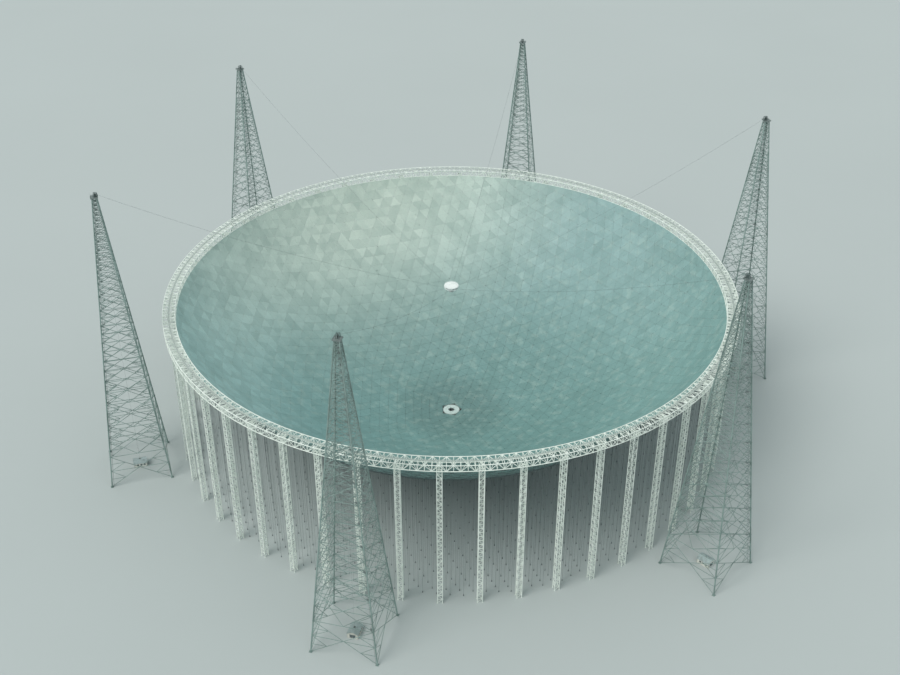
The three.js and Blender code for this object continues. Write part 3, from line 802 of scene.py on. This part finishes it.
def head_deck():
    """The grating, and on its four sides an edge beam, a toe board, joists and a railing."""
    centre = TOWER_AXIS + UP * DECK_Z
    half = DECK_WIDTH / 2
    edge = bmesh.new()
    corners = [centre + Vector((half - RAIL_POST, side * (half - RAIL_POST), 0)) for side in (-1, 1)]
    railing(edge, *corners)
    for lift, width, depth in EDGE_BOARDS:
        strut(edge, *(corner + UP * lift * M for corner in corners), width * M, 4, depth * M)
    for x in JOIST_PLACES:
        joist = [centre + Vector((half * x, side * half * 0.97, -0.2 * M)) for side in (-1, 1)]
        strut(edge, *joist, 0.12 * M, 4, 0.24 * M)
    repeat(edge, 4, QUARTER_TURN, TOWER_AXIS)
    shape = holed_plate(centre, DECK_WIDTH, WELL_WIDTH, GRATING)
    join(shape, edge)
    return shape


def head_frame():
    """Cheeks that carry the sheave's pin, and the hoist frame over them."""
    shape = bmesh.new()
    axle = Vector((SHEAVE_CENTRE.x, 0, 0))
    cheek = [(-1.5 * M, DECK_Z), (1.5 * M, DECK_Z), (0.55 * M, CHEEK_TOP_Z), (-0.55 * M, CHEEK_TOP_Z)]
    for side in (-1, 1):
        y = side * (GROOVE_WIDTH / 2 + CHEEK_THICKNESS)
        slab(shape, [axle + Vector((x, y - CHEEK_THICKNESS / 2, z)) for x, z in cheek], CHEEK_THICKNESS)
        stub(shape, SHEAVE_CENTRE + ACROSS * y, ACROSS * 0.12 * M, 0.6 * M, 12)
        for x in (-1.2 * M, 1.2 * M):
            plate(shape, axle + Vector((x, y, DECK_Z + 0.12 * M)), (0.5 * M, 0.6 * M, 0.24 * M))
    stub(shape, SHEAVE_CENTRE, ACROSS * 0.5 * M, 0.3 * M, 12)
    middle = (DECK_Z + HOIST_TOP_Z) / 2
    middle_taper = (1 + HOIST_TAPER) / 2

    def post(x, y, z):
        return axle + Vector((x * HOIST_REACH, y * HOIST_SPREAD, z))

    for y in (-1, 1):
        for x in (-1, 1):
            strut(shape, post(x, y, DECK_Z), post(x * HOIST_TAPER, y, HOIST_TOP_Z), 0.26 * M, 4)
        low, high = (-middle_taper, y, middle), (HOIST_TAPER, y, HOIST_TOP_Z)
        strut(shape, post(-HOIST_TAPER, y, HOIST_TOP_Z), post(*high), 0.3 * M, 4)
        strut(shape, post(*low), post(middle_taper, y, middle), 0.16 * M, 4)
        strut(shape, post(*low), post(*high), 0.14 * M, 4)
    for x in (-HOIST_TAPER, HOIST_TAPER, 0):
        stub(shape, post(x, 0, HOIST_TOP_Z), ACROSS * 1.1 * HOIST_SPREAD, 0.24 * M, 4)
    hoist = post(0, 0, HOIST_TOP_Z - 0.5 * M)
    plate(shape, hoist, (0.7 * M, 0.8 * M, 0.7 * M))
    strut(shape, hoist - UP * 0.35 * M, hoist - UP * 0.55 * M, 0.3 * M, 8)
    return shape


def head_sheave():
    """A grooved wheel with a dished web and a hub, on a level pin across the cable's plane."""
    half = GROOVE_WIDTH / 2
    groove = CABLE_DIAMETER / 2 + SEAM
    hub = [(0.15, -0.16), (0.3, -0.16), (0.34, -0.05), (0.78, -0.05), (0.84, -0.13)]
    rim = [(1.14 * M, -half), (1.16 * M, -0.8 * half), (SHEAVE_RADIUS, -groove)]
    lower = [(radius * M, height * M) for radius, height in hub] + rim
    upper = [(radius, -height) for radius, height in reversed(lower)]
    place = shift(SHEAVE_CENTRE) @ Matrix.Rotation(QUARTER_TURN, 4, "X")
    return turned(lower + upper, SHEAVE_STEPS, place)


def add_tower_heads():
    add_pieces(head_deck(), "head_deck", DECK_STEEL, "tower_head")
    add_pieces(head_frame(), "head_frame", HEAD_GREY)
    add_pieces(head_sheave(), "head_sheave", CABLE_STEEL)


# Suspension cables: a rope from the winch house over the sheave to the cabin, with its supply line

ROPE = 0.1 * M
SUPPLY_LINE = 0.05 * M
SUPPLY_DROP = 0.13 * M
CLIP_SPACING = 12 * M
WRAP_STEPS = 12
SPAN_STEPS = 60
LOOP_STEPS = 4
CABIN_FACE_RADIUS = CABIN_RADIUS * cos(pi / CABIN_SIDES)
ROPE_END = Vector((CABIN_FACE_RADIUS + SEAM + CABLE_DIAMETER / 4, 0, CABIN_Z))
ROPE_SLOPE = (SHEAVE_CENTRE.z - CABIN_Z + 4 * CABLE_SAG) / (SHEAVE_CENTRE.x - CABIN_FACE_RADIUS)
ROPE_WRAP = QUARTER_TURN + atan(ROPE_SLOPE)


def on_sheave(angle):
    """A point of the rope on the sheave, from its outer side over the top."""
    return SHEAVE_CENTRE + Vector((cos(angle), 0, sin(angle))) * SHEAVE_TURN_RADIUS


def rope_span(share):
    """A point on the parabola from the cabin, at 0, to where the rope leaves the sheave, at 1."""
    leave = on_sheave(ROPE_WRAP)
    half = (leave.x - ROPE_END.x) / 2
    bend = Vector((leave.x - half, 0, leave.z - half * ROPE_SLOPE))
    return ROPE_END.lerp(bend, share).lerp(bend.lerp(leave, share), share)


def suspension_rope():
    points = [Vector((TOWER_CIRCLE_RADIUS, 0, HOUSE_RIDGE + SEAM))]
    points += [on_sheave(ROPE_WRAP * i / WRAP_STEPS) for i in range(WRAP_STEPS + 1)]
    points += [rope_span(1 - i / SPAN_STEPS) for i in range(1, SPAN_STEPS + 1)]
    return rope(points, ROPE)


def supply_line():
    """A thinner line that hangs under the rope in short loops from clips."""
    loops = round((rope_span(1) - rope_span(0)).length / CLIP_SPACING)

    def under_rope(share):
        return rope_span(0.02 + 0.96 * share)

    points = []
    for i in range(loops * LOOP_STEPS + 1):
        swag = sin(pi * (i % LOOP_STEPS) / LOOP_STEPS) * 2 * SUPPLY_DROP
        points.append(under_rope(i / (loops * LOOP_STEPS)) - UP * (SUPPLY_DROP + swag))
    shape = rope(points, SUPPLY_LINE)
    clip = bmesh.new()
    plate(clip, -UP * SUPPLY_DROP / 2, (0.1 * M, 0.16 * M, SUPPLY_DROP + ROPE))
    join(shape, clip, *(shift(under_rope(i / loops)) for i in range(loops + 1)))
    return shape


def add_cables():
    add_pieces(suspension_rope(), "suspension_rope", CABLE_STEEL, "suspension_cable")
    add_pieces(supply_line(), "supply_line", HEAD_GREY)


# Feed cabin: a panelled drum over a tapered floor, a seamed roof, and the frame that the cables pull on

FLAT = pi / CABIN_SIDES  # from the middle of a side to its corners
ROOF_BOTTOM = CABIN_DRUM_TOP_Z + SEAM
PANEL_MARGIN = 0.12 * M
PANEL_RECESS = 0.05 * M
FRAME_TUBE = 0.28 * M
SOCKET_LENGTH = 0.9 * M
ROOF_SEAM = (0.05 * M, 4, 0.1 * M)
ROOF_HIP = (0.14 * M, 4, 0.16 * M)
ROOF_RAIL_INSET = 0.3 * M
WINDOW_PANE = (0.08 * M, 1.8 * M, 0.38 * M)
WINDOW_LIFT = 0.36 * M


def cabin_body():
    """The drum and its taper, each side a recessed cladding panel between raised seams."""
    profile = [(0, CABIN_FLOOR_Z), (CABIN_FLOOR_RADIUS, CABIN_FLOOR_Z), (CABIN_RADIUS, CABIN_DRUM_BOTTOM_Z),
               (CABIN_RADIUS, CABIN_DRUM_TOP_Z), (0, CABIN_DRUM_TOP_Z)]
    shape = turned(profile, CABIN_SIDES, turn(FLAT))
    sides = [face for face in shape.faces if abs(face.normal.z) < 0.95]
    bmesh.ops.inset_individual(shape, faces=sides, thickness=PANEL_MARGIN, depth=-PANEL_RECESS,
                               use_even_offset=True)
    return shape


def cabin_frame():
    """Tubes round the drum at three levels, posts at its corners, ribs and a ring under its taper."""
    shape = bmesh.new()
    corner = CABIN_RADIUS + 0.02 * M
    heights = (CABIN_DRUM_TOP_Z - FRAME_TUBE, CABIN_Z, CABIN_DRUM_BOTTOM_Z)
    for z in heights:
        strut(shape, polar(corner, -FLAT, z), polar(corner, FLAT, z), FRAME_TUBE, 8)
    high, low = (polar(corner, FLAT, z) for z in (heights[0], heights[2]))
    floor_ends = [polar(CABIN_FLOOR_RADIUS, angle, CABIN_FLOOR_Z + 0.1 * M) for angle in (-FLAT, FLAT)]
    strut(shape, high, low, FRAME_TUBE, 8)
    strut(shape, low, floor_ends[1], 0.7 * FRAME_TUBE, 8)
    strut(shape, *floor_ends, 0.8 * FRAME_TUBE, 8)
    repeat(shape, CABIN_SIDES, 2 * FLAT)
    return shape


def cable_socket():
    """Two lugs on the frame with a pin through them, and the collared socket that ends the cable."""
    shape = bmesh.new()
    pull = (rope_span(0.03) - ROPE_END).normalized() * SOCKET_LENGTH
    for y in (-0.16, 0.16):
        plate(shape, ROPE_END + Vector((0.05, y, 0)) * M, (0.6 * M, 0.08 * M, 0.5 * M))
    stub(shape, ROPE_END, ACROSS * 0.3 * M, 0.2 * M, 10)
    strut(shape, ROPE_END, ROPE_END + pull, 0.22 * M, 10)
    strut(shape, ROPE_END + pull * 0.3, ROPE_END + pull * 0.6, 0.34 * M, 10)
    return shape


def cabin_roof():
    """Twelve sheets with folded seams, an eaves band, a capped vent and two hatches."""
    eaves = CABIN_RADIUS + CABIN_EAVES
    high, low = CABIN_TOP_Z, ROOF_BOTTOM + CABIN_EAVES
    profile = [(0, ROOF_BOTTOM), (eaves, ROOF_BOTTOM), (eaves, low), (0, high)]
    shape = turned(profile, CABIN_SIDES, turn(FLAT))
    reach, rise = eaves * cos(FLAT), high - low

    def on_sheet(share, aside):
        return Vector((reach * share, aside, high - rise * share))

    seams = bmesh.new()
    strut(seams, polar(0.06 * eaves, FLAT, high - 0.06 * rise), polar(eaves, FLAT, low), *ROOF_HIP)
    for aside in (-0.9 * M, 0, 0.9 * M):
        inner = 0.14 + abs(aside) / (reach * tan(FLAT))
        strut(seams, on_sheet(min(inner, 0.95), aside), on_sheet(1, aside), *ROOF_SEAM)
    repeat(seams, CABIN_SIDES, 2 * FLAT)
    join(shape, seams)
    profile = [(0, -0.1), (0.9, -0.1), (0.9, 0.12), (0.75, 0.22), (0.2, 0.3), (0, 0.3)]
    vent = turned([(radius * M, z * M) for radius, z in profile], 24)
    join(shape, vent, shift((0, 0, CABIN_TOP_Z - 0.2 * M)))
    for angle in (radians(20), radians(200)):
        place = polar(0.6 * reach, angle, high - 0.6 * rise + 0.12 * M)
        plate(shape, place, (1.1 * M, 1.1 * M, 0.24 * M), angle)
        plate(shape, place + UP * 0.14 * M, (1.2 * M, 1.2 * M, 0.06 * M), angle)
    return shape


def railed_ring(radius, z, sides, spacing=1.6 * M):
    """A guard rail in straight runs round an upright axis."""
    shape = bmesh.new()
    half = pi / sides
    railing(shape, polar(radius, -half, z), polar(radius, half, z), spacing)
    repeat(shape, sides, 2 * half)
    return shape


def cabin_windows():
    """A long window high in every second side of the drum."""
    shape, pane = bmesh.new(), bmesh.new()
    plate(pane, Vector((CABIN_FACE_RADIUS - PANEL_RECESS, 0, CABIN_Z + WINDOW_LIFT)), WINDOW_PANE)
    bmesh.ops.bevel(pane, geom=pane.edges[:], offset=0.02 * M, offset_type="OFFSET", affect="EDGES",
                    segments=1, profile=0.5, material=-1)
    join(shape, pane, *(turn(2 * FLAT * i) for i in range(0, CABIN_SIDES, 2)))
    return shape


def add_cabin():
    add_piece(cabin_body(), "cabin_cladding", CABIN_GREY, nodes=("cabin_body",))
    frame = cabin_frame()
    join(frame, cable_socket(), *(turn(angle) for angle in TOWER_ANGLES))
    add_piece(frame, "cabin_frame", CABIN_WHITE)
    add_piece(cabin_roof(), "cabin_roof_sheets", CABIN_WHITE, nodes=("cabin_roof",))
    rail = railed_ring(CABIN_RADIUS - ROOF_RAIL_INSET, ROOF_BOTTOM + CABIN_EAVES + 0.02 * M, CABIN_SIDES)
    add_piece(rail, "cabin_rail", CABIN_WHITE)
    add_piece(cabin_windows(), "cabin_windows", GLASS)


# Receiver platform: a ring under the cabin, six telescopic struts, and a disc of receiver horns

RECEIVER_DISC_RADIUS = 2.4 * M
RECEIVER_SEAT = CABIN_FLOOR_Z - SEAM
MOUNT_INNER_RADIUS = 2.2 * M
MOUNT_DEPTH = 0.3 * M
STRUT_LEAN = 0.25
DISC_TOP = RECEIVER_SEAT - 1.6 * M
DISC_THICKNESS = 0.5 * M
HORN_RADIUS = 0.6 * M
ROUND_STEPS = 48


def receiver_mount():
    """The mounting ring, and six struts of two telescoping tubes between ball joints."""
    profile = band(MOUNT_INNER_RADIUS, CABIN_FLOOR_RADIUS, -MOUNT_DEPTH, 0)
    shape = turned(profile, ROUND_STEPS, shift((0, 0, RECEIVER_SEAT)))
    for i, angle in enumerate(even_angles(6, 0)):
        high = polar(0.85 * CABIN_FLOOR_RADIUS, angle, RECEIVER_SEAT - MOUNT_DEPTH)
        low = polar(0.85 * RECEIVER_DISC_RADIUS, angle + (STRUT_LEAN if i % 2 else -STRUT_LEAN), DISC_TOP)
        strut(shape, high, high.lerp(low, 0.6), 0.34 * M, 12)
        strut(shape, high.lerp(low, 0.55), low, 0.2 * M, 12)
        for joint in (high, low):
            stub(shape, joint, UP * 0.14 * M, 0.44 * M, 10)
    return shape


def horn(size):
    """A corrugated horn, open below."""
    outline = [(0.45, 0.1), (0.5, -0.25), (0.72, -0.3), (0.76, -0.75), (0.96, -0.8), (1, -1.2),
               (0.9, -1.2), (0.6, -0.5), (0.3, -0.05), (0.3, 0.1)]
    return turned([(radius * size, z * size) for radius, z in outline], 32)


def receiver_disc():
    """The disc, a large horn with three small ones below it, and three boxes on it."""
    profile = [(0, -1), (0.94, -1), (1, -0.8), (1, -0.2), (0.96, 0), (0, 0)]
    shape = turned([(radius * RECEIVER_DISC_RADIUS, z * DISC_THICKNESS) for radius, z in profile],
                   ROUND_STEPS, shift((0, 0, DISC_TOP)))
    bottom = DISC_TOP - DISC_THICKNESS
    join(shape, horn(HORN_RADIUS), shift((0, 0, bottom)))
    places = [polar(0.65 * RECEIVER_DISC_RADIUS, angle, bottom) for angle in even_angles(3, 0)]
    join(shape, horn(0.6 * HORN_RADIUS), *(shift(place) for place in places))
    for angle in even_angles(3, pi / 3):
        place = polar(0.62 * RECEIVER_DISC_RADIUS, angle, DISC_TOP + 0.2 * M)
        plate(shape, place, (0.8 * M, 0.6 * M, 0.4 * M), angle)
    return shape


def add_receivers():
    add_piece(receiver_mount(), "receiver_struts", CABIN_GREY, nodes=("receiver_platform",))
    add_piece(receiver_disc(), "receiver_disc", CABIN_WHITE)


# Docking platform in the bowl's central opening: an annular deck with rails, on braced legs

DECK_SHEETS = 24
DECK_SHEET_THICKNESS = 0.09 * M
DECK_SHEET_GAP = 0.008  # as an angle, half of the gap between two sheets
DECK_FRAME_DROP = 0.1 * M
DECK_JOINT_RADIUS = 5.45 * M
CLAMPS = 6


def docking_deck():
    """Deck sheets with open seams, on a framed ring, with clamps round the middle opening."""
    inner, outer = PLATFORM_OPENING_RADIUS, PLATFORM_RADIUS
    profile = band(inner, outer, VERTEX_Z - PLATFORM_THICKNESS, VERTEX_Z - DECK_FRAME_DROP)
    shape = turned(profile, 2 * DECK_SHEETS)
    sheet = bmesh.new()
    half = pi / DECK_SHEETS - DECK_SHEET_GAP
    for low, high in ((inner, DECK_JOINT_RADIUS - 0.05 * M), (DECK_JOINT_RADIUS + 0.05 * M, outer)):
        corners = [polar(radius, angle, VERTEX_Z) for radius, angle in band(low, high, -half, half)]
        slab(sheet, corners, DECK_SHEET_THICKNESS)
    repeat(sheet, DECK_SHEETS, 2 * pi / DECK_SHEETS)
    join(shape, sheet)
    clamp = bmesh.new()
    plate(clamp, Vector((inner + 0.5 * M, 0, VERTEX_Z + 0.25 * M)), (0.7 * M, 0.5 * M, 0.5 * M))
    plate(clamp, Vector((inner + 0.2 * M, 0, VERTEX_Z + 0.6 * M)), (0.5 * M, 0.3 * M, 0.3 * M))
    repeat(clamp, CLAMPS, 2 * pi / CLAMPS)
    join(shape, clamp)
    return shape


def docking_legs():
    """A leg, a radial beam and cross bracing, repeated round the ring."""
    shape = bmesh.new()
    span = pi / PLATFORM_LEGS
    radius = PLATFORM_RADIUS - 1 * M
    inner = PLATFORM_OPENING_RADIUS + 0.3 * M
    under = VERTEX_Z - PLATFORM_THICKNESS
    foot, head = polar(radius, span, 0), polar(radius, span, under)
    next_foot, next_head = polar(radius, -span, 0.4 * M), polar(radius, -span, under)
    beam = [polar(end, span, under - 0.15 * M) for end in (inner, PLATFORM_RADIUS)]
    strut(shape, foot, head, 0.5 * M, 8)
    strut(shape, foot, foot + UP * 0.15 * M, 1.1 * M, 8)
    strut(shape, *beam, 0.24 * M, 4, 0.36 * M)
    strut(shape, polar(inner, span, under - 0.2 * M), foot.lerp(head, 0.35), 0.2 * M, 6)
    strut(shape, foot + UP * 0.4 * M, next_head - UP * 0.3 * M, 0.16 * M, 6)
    strut(shape, next_foot, head - UP * 0.3 * M, 0.16 * M, 6)
    repeat(shape, PLATFORM_LEGS, 2 * span)
    return shape


def add_docking_platform():
    add_piece(docking_deck(), "docking_deck", DOCK_WHITE, nodes=("docking_platform",))
    rails = railed_ring(PLATFORM_RADIUS - 0.1 * M, VERTEX_Z, DECK_SHEETS, 2.2 * M)
    add_piece(rails, "docking_rails", DOCK_WHITE)
    add_piece(docking_legs(), "docking_legs", CABIN_GREY)


# Winch houses: one under each tower, with a sheeted roof and a hatch that the cable rises through

WALL_INSET = 0.12 * M
WALL_X = HOUSE_LENGTH / 2 - WALL_INSET
WALL_Y = HOUSE_WIDTH / 2 - WALL_INSET
PLINTH_HEIGHT = 0.5 * M
ROOF_THICKNESS = 0.16 * M
ROOF_OVERHANG = 0.25 * M
ROOF_SEAMS = 20
GUTTER = 0.2 * M
DOWNPIPE = 0.12 * M
DOOR_WIDTH = 2.4 * M
DOOR_HEIGHT = 3 * M
WINDOW_WIDTH = 1.6 * M
WINDOW_HEIGHT = 1.1 * M
WINDOW_PLACES = [TOWER_AXIS + Vector((x * M, WALL_Y, 2.6 * M)) for x in (-3.6, -0.6, 2.4)]


def house_walls():
    """The gabled block on its plinth."""
    shape = bmesh.new()
    flat = HATCH_WIDTH / 2
    eaves, ridge = HOUSE_EAVES - WALL_INSET, HOUSE_RIDGE - WALL_INSET
    outline = [(-WALL_Y, 0), (WALL_Y, 0), (WALL_Y, eaves), (flat, ridge), (-flat, ridge), (-WALL_Y, eaves)]
    slab(shape, [(TOWER_CIRCLE_RADIUS + WALL_X, y, z) for y, z in outline], 2 * WALL_X)
    plate(shape, TOWER_AXIS + UP * PLINTH_HEIGHT / 2, (HOUSE_LENGTH, HOUSE_WIDTH, PLINTH_HEIGHT))
    return shape


def house_roof():
    """Two sheeted slopes with standing seams, gutters and downpipes, and a flat strip round the hatch."""
    shape = bmesh.new()
    flat_y, eave_y = HATCH_WIDTH / 2, HOUSE_WIDTH / 2 + ROOF_OVERHANG
    fall = (HOUSE_RIDGE - HOUSE_EAVES) / (HOUSE_WIDTH / 2 - flat_y)
    half = HOUSE_LENGTH / 2 + ROOF_OVERHANG

    def on_slope(x, share, lift=0.0):
        aside = (eave_y - flat_y) * share
        return TOWER_AXIS + Vector((x, flat_y + aside, HOUSE_RIDGE - fall * aside + lift))

    slab(shape, [on_slope(x, share) for x, share in band(-half, half, 0, 1)], ROOF_THICKNESS)
    for i in range(ROOF_SEAMS + 1):
        x = half * (2 * i / ROOF_SEAMS - 1)
        strut(shape, on_slope(x, 0, 0.04 * M), on_slope(x, 1, 0.04 * M), 0.12 * M, 4, 0.2 * M)
    strut(shape, on_slope(-half, 1, -GUTTER / 2), on_slope(half, 1, -GUTTER / 2), GUTTER, 8)
    for x in (-0.9 * half, 0.9 * half):
        pipe = on_slope(x, 1, -GUTTER / 2)
        wall = Vector((pipe.x, HOUSE_WIDTH / 2 + 0.02 * M, pipe.z - 0.4 * M))
        strut(shape, pipe, wall, DOWNPIPE, 6)
        strut(shape, wall, Vector((wall.x, wall.y, 0)), DOWNPIPE, 6)
    repeat(shape, 2, pi, TOWER_AXIS)
    for side in (-1, 1):
        ridge = TOWER_AXIS + Vector((side * (half + flat_y) / 2, 0, HOUSE_RIDGE - ROOF_THICKNESS / 2))
        plate(shape, ridge, (half - flat_y, HATCH_WIDTH + 0.1 * M, ROOF_THICKNESS))
    return shape


def house_hatch():
    """A curb with rollers round the cable where it leaves the roof."""
    shape = bmesh.new()
    reach = HATCH_WIDTH / 2 - 0.1 * M
    ridge = TOWER_AXIS + UP * HOUSE_RIDGE
    plate(shape, ridge + Vector((reach, 0, 0)), (0.16 * M, HATCH_WIDTH, 0.5 * M))
    stub(shape, ridge + Vector((0.28, 0, 0.1)) * M, ACROSS * reach, 0.3 * M, 12)
    repeat(shape, 2, pi, TOWER_AXIS)
    return shape


def house_doors():
    """Sliding door leaves under their track, and the windows' sills, heads and glazing bars."""
    shape = bmesh.new()
    end = TOWER_AXIS + Vector((WALL_X, 0, 0))
    for y in (-DOOR_WIDTH / 2, DOOR_WIDTH / 2):
        leaf = end + Vector((0, y, PLINTH_HEIGHT + DOOR_HEIGHT / 2))
        plate(shape, leaf, (0.12 * M, 0.96 * DOOR_WIDTH, DOOR_HEIGHT))
    plate(shape, end + UP * (DOOR_HEIGHT + 0.62 * M), (0.24 * M, 2.2 * DOOR_WIDTH, 0.2 * M))
    for place in WINDOW_PLACES:
        for side in (-1, 1):
            edge = place + UP * side * (WINDOW_HEIGHT / 2 + 0.06 * M)
            plate(shape, edge, (WINDOW_WIDTH + 0.3 * M, 0.2 * M, 0.12 * M))
        for x in (-WINDOW_WIDTH / 2, 0, WINDOW_WIDTH / 2):
            plate(shape, place + Vector((x, 0, 0)), (0.09 * M, 0.14 * M, WINDOW_HEIGHT))
    repeat(shape, 2, pi, TOWER_AXIS)
    return shape


def house_windows():
    shape = bmesh.new()
    for place in WINDOW_PLACES:
        plate(shape, place, (WINDOW_WIDTH, 0.08 * M, WINDOW_HEIGHT))
    repeat(shape, 2, pi, TOWER_AXIS)
    return shape


def add_winch_houses():
    add_pieces(house_walls(), "winch_house_walls", HOUSE_WHITE, "winch_house")
    add_pieces(house_roof(), "winch_house_roof", HOUSE_ROOF)
    add_pieces(house_hatch(), "winch_house_hatch", HEAD_GREY)
    add_pieces(house_doors(), "winch_house_doors", DOOR_GREY)
    add_pieces(house_windows(), "winch_house_windows", GLASS)


add_reflector()
add_ring()
add_towers()
add_tower_heads()
add_cables()
add_cabin()
add_receivers()
add_docking_platform()
add_winch_houses()


# Stage: a pale floor under an even sky, with a broad soft light from the upper left

FLOOR_RADIUS = 900
FLOOR_DROP = 0.002
SKY_STRENGTH = 0.85
SUN_STRENGTH = 1.6
SUN_WIDTH = radians(35)
SUN_TILT = radians(40)
SUN_HEADING = radians(-35)


def add_stage():
    floor = bmesh.new()
    bmesh.ops.create_circle(floor, cap_ends=True, segments=96, radius=FLOOR_RADIUS)
    bmesh.ops.translate(floor, verts=floor.verts, vec=(0, 0, -FLOOR_DROP))
    mesh = bpy.data.meshes.new("floor")
    floor.to_mesh(mesh)
    floor.free()
    finish = Finish("pale_floor", 0.9)
    finish.colour(finish.mix(finish.noise(0.05, 3), (184, 191, 190), (190, 197, 196)))
    mesh.materials.append(finish.material)
    piece = placed("floor", mesh)


def add_lights():
    world = bpy.data.worlds.new("overcast")
    bpy.context.scene.world = world
    world.use_nodes = True
    sky = world.node_tree.nodes["Background"]
    sky.inputs["Color"].default_value = tint(214, 224, 226)
    sky.inputs["Strength"].default_value = SKY_STRENGTH
    lamp = bpy.data.lights.new("sun", "SUN")
    lamp.energy = SUN_STRENGTH
    lamp.angle = SUN_WIDTH
    lamp.color = (1.0, 0.98, 0.94)
    placed("sun", lamp).rotation_euler = (SUN_TILT, 0, SUN_HEADING)
    bpy.context.scene.view_settings.view_transform = "Standard"


# Camera: where the photograph's own camera falls when it is fitted to the rim, the towers and the vertex

CAMERA_AZIMUTH = radians(-75.4)
CAMERA_DISTANCE = 48.47
CAMERA_HEIGHT = 28.78  # over the rim
CAMERA_PITCH = radians(-32.84)
CAMERA_HEADING = radians(104.675)
CAMERA_LENS = 48.75


def add_camera():
    camera = bpy.data.cameras.new("camera")
    camera.lens = CAMERA_LENS
    camera.sensor_width = 36
    camera.clip_end = 3000
    holder = placed("camera", camera)
    holder.location = polar(CAMERA_DISTANCE, CAMERA_AZIMUTH, RIM_Z + CAMERA_HEIGHT)
    holder.rotation_euler = (QUARTER_TURN + CAMERA_PITCH, 0, CAMERA_HEADING - QUARTER_TURN)
    bpy.context.scene.camera = holder


add_stage()
add_lights()
add_camera()
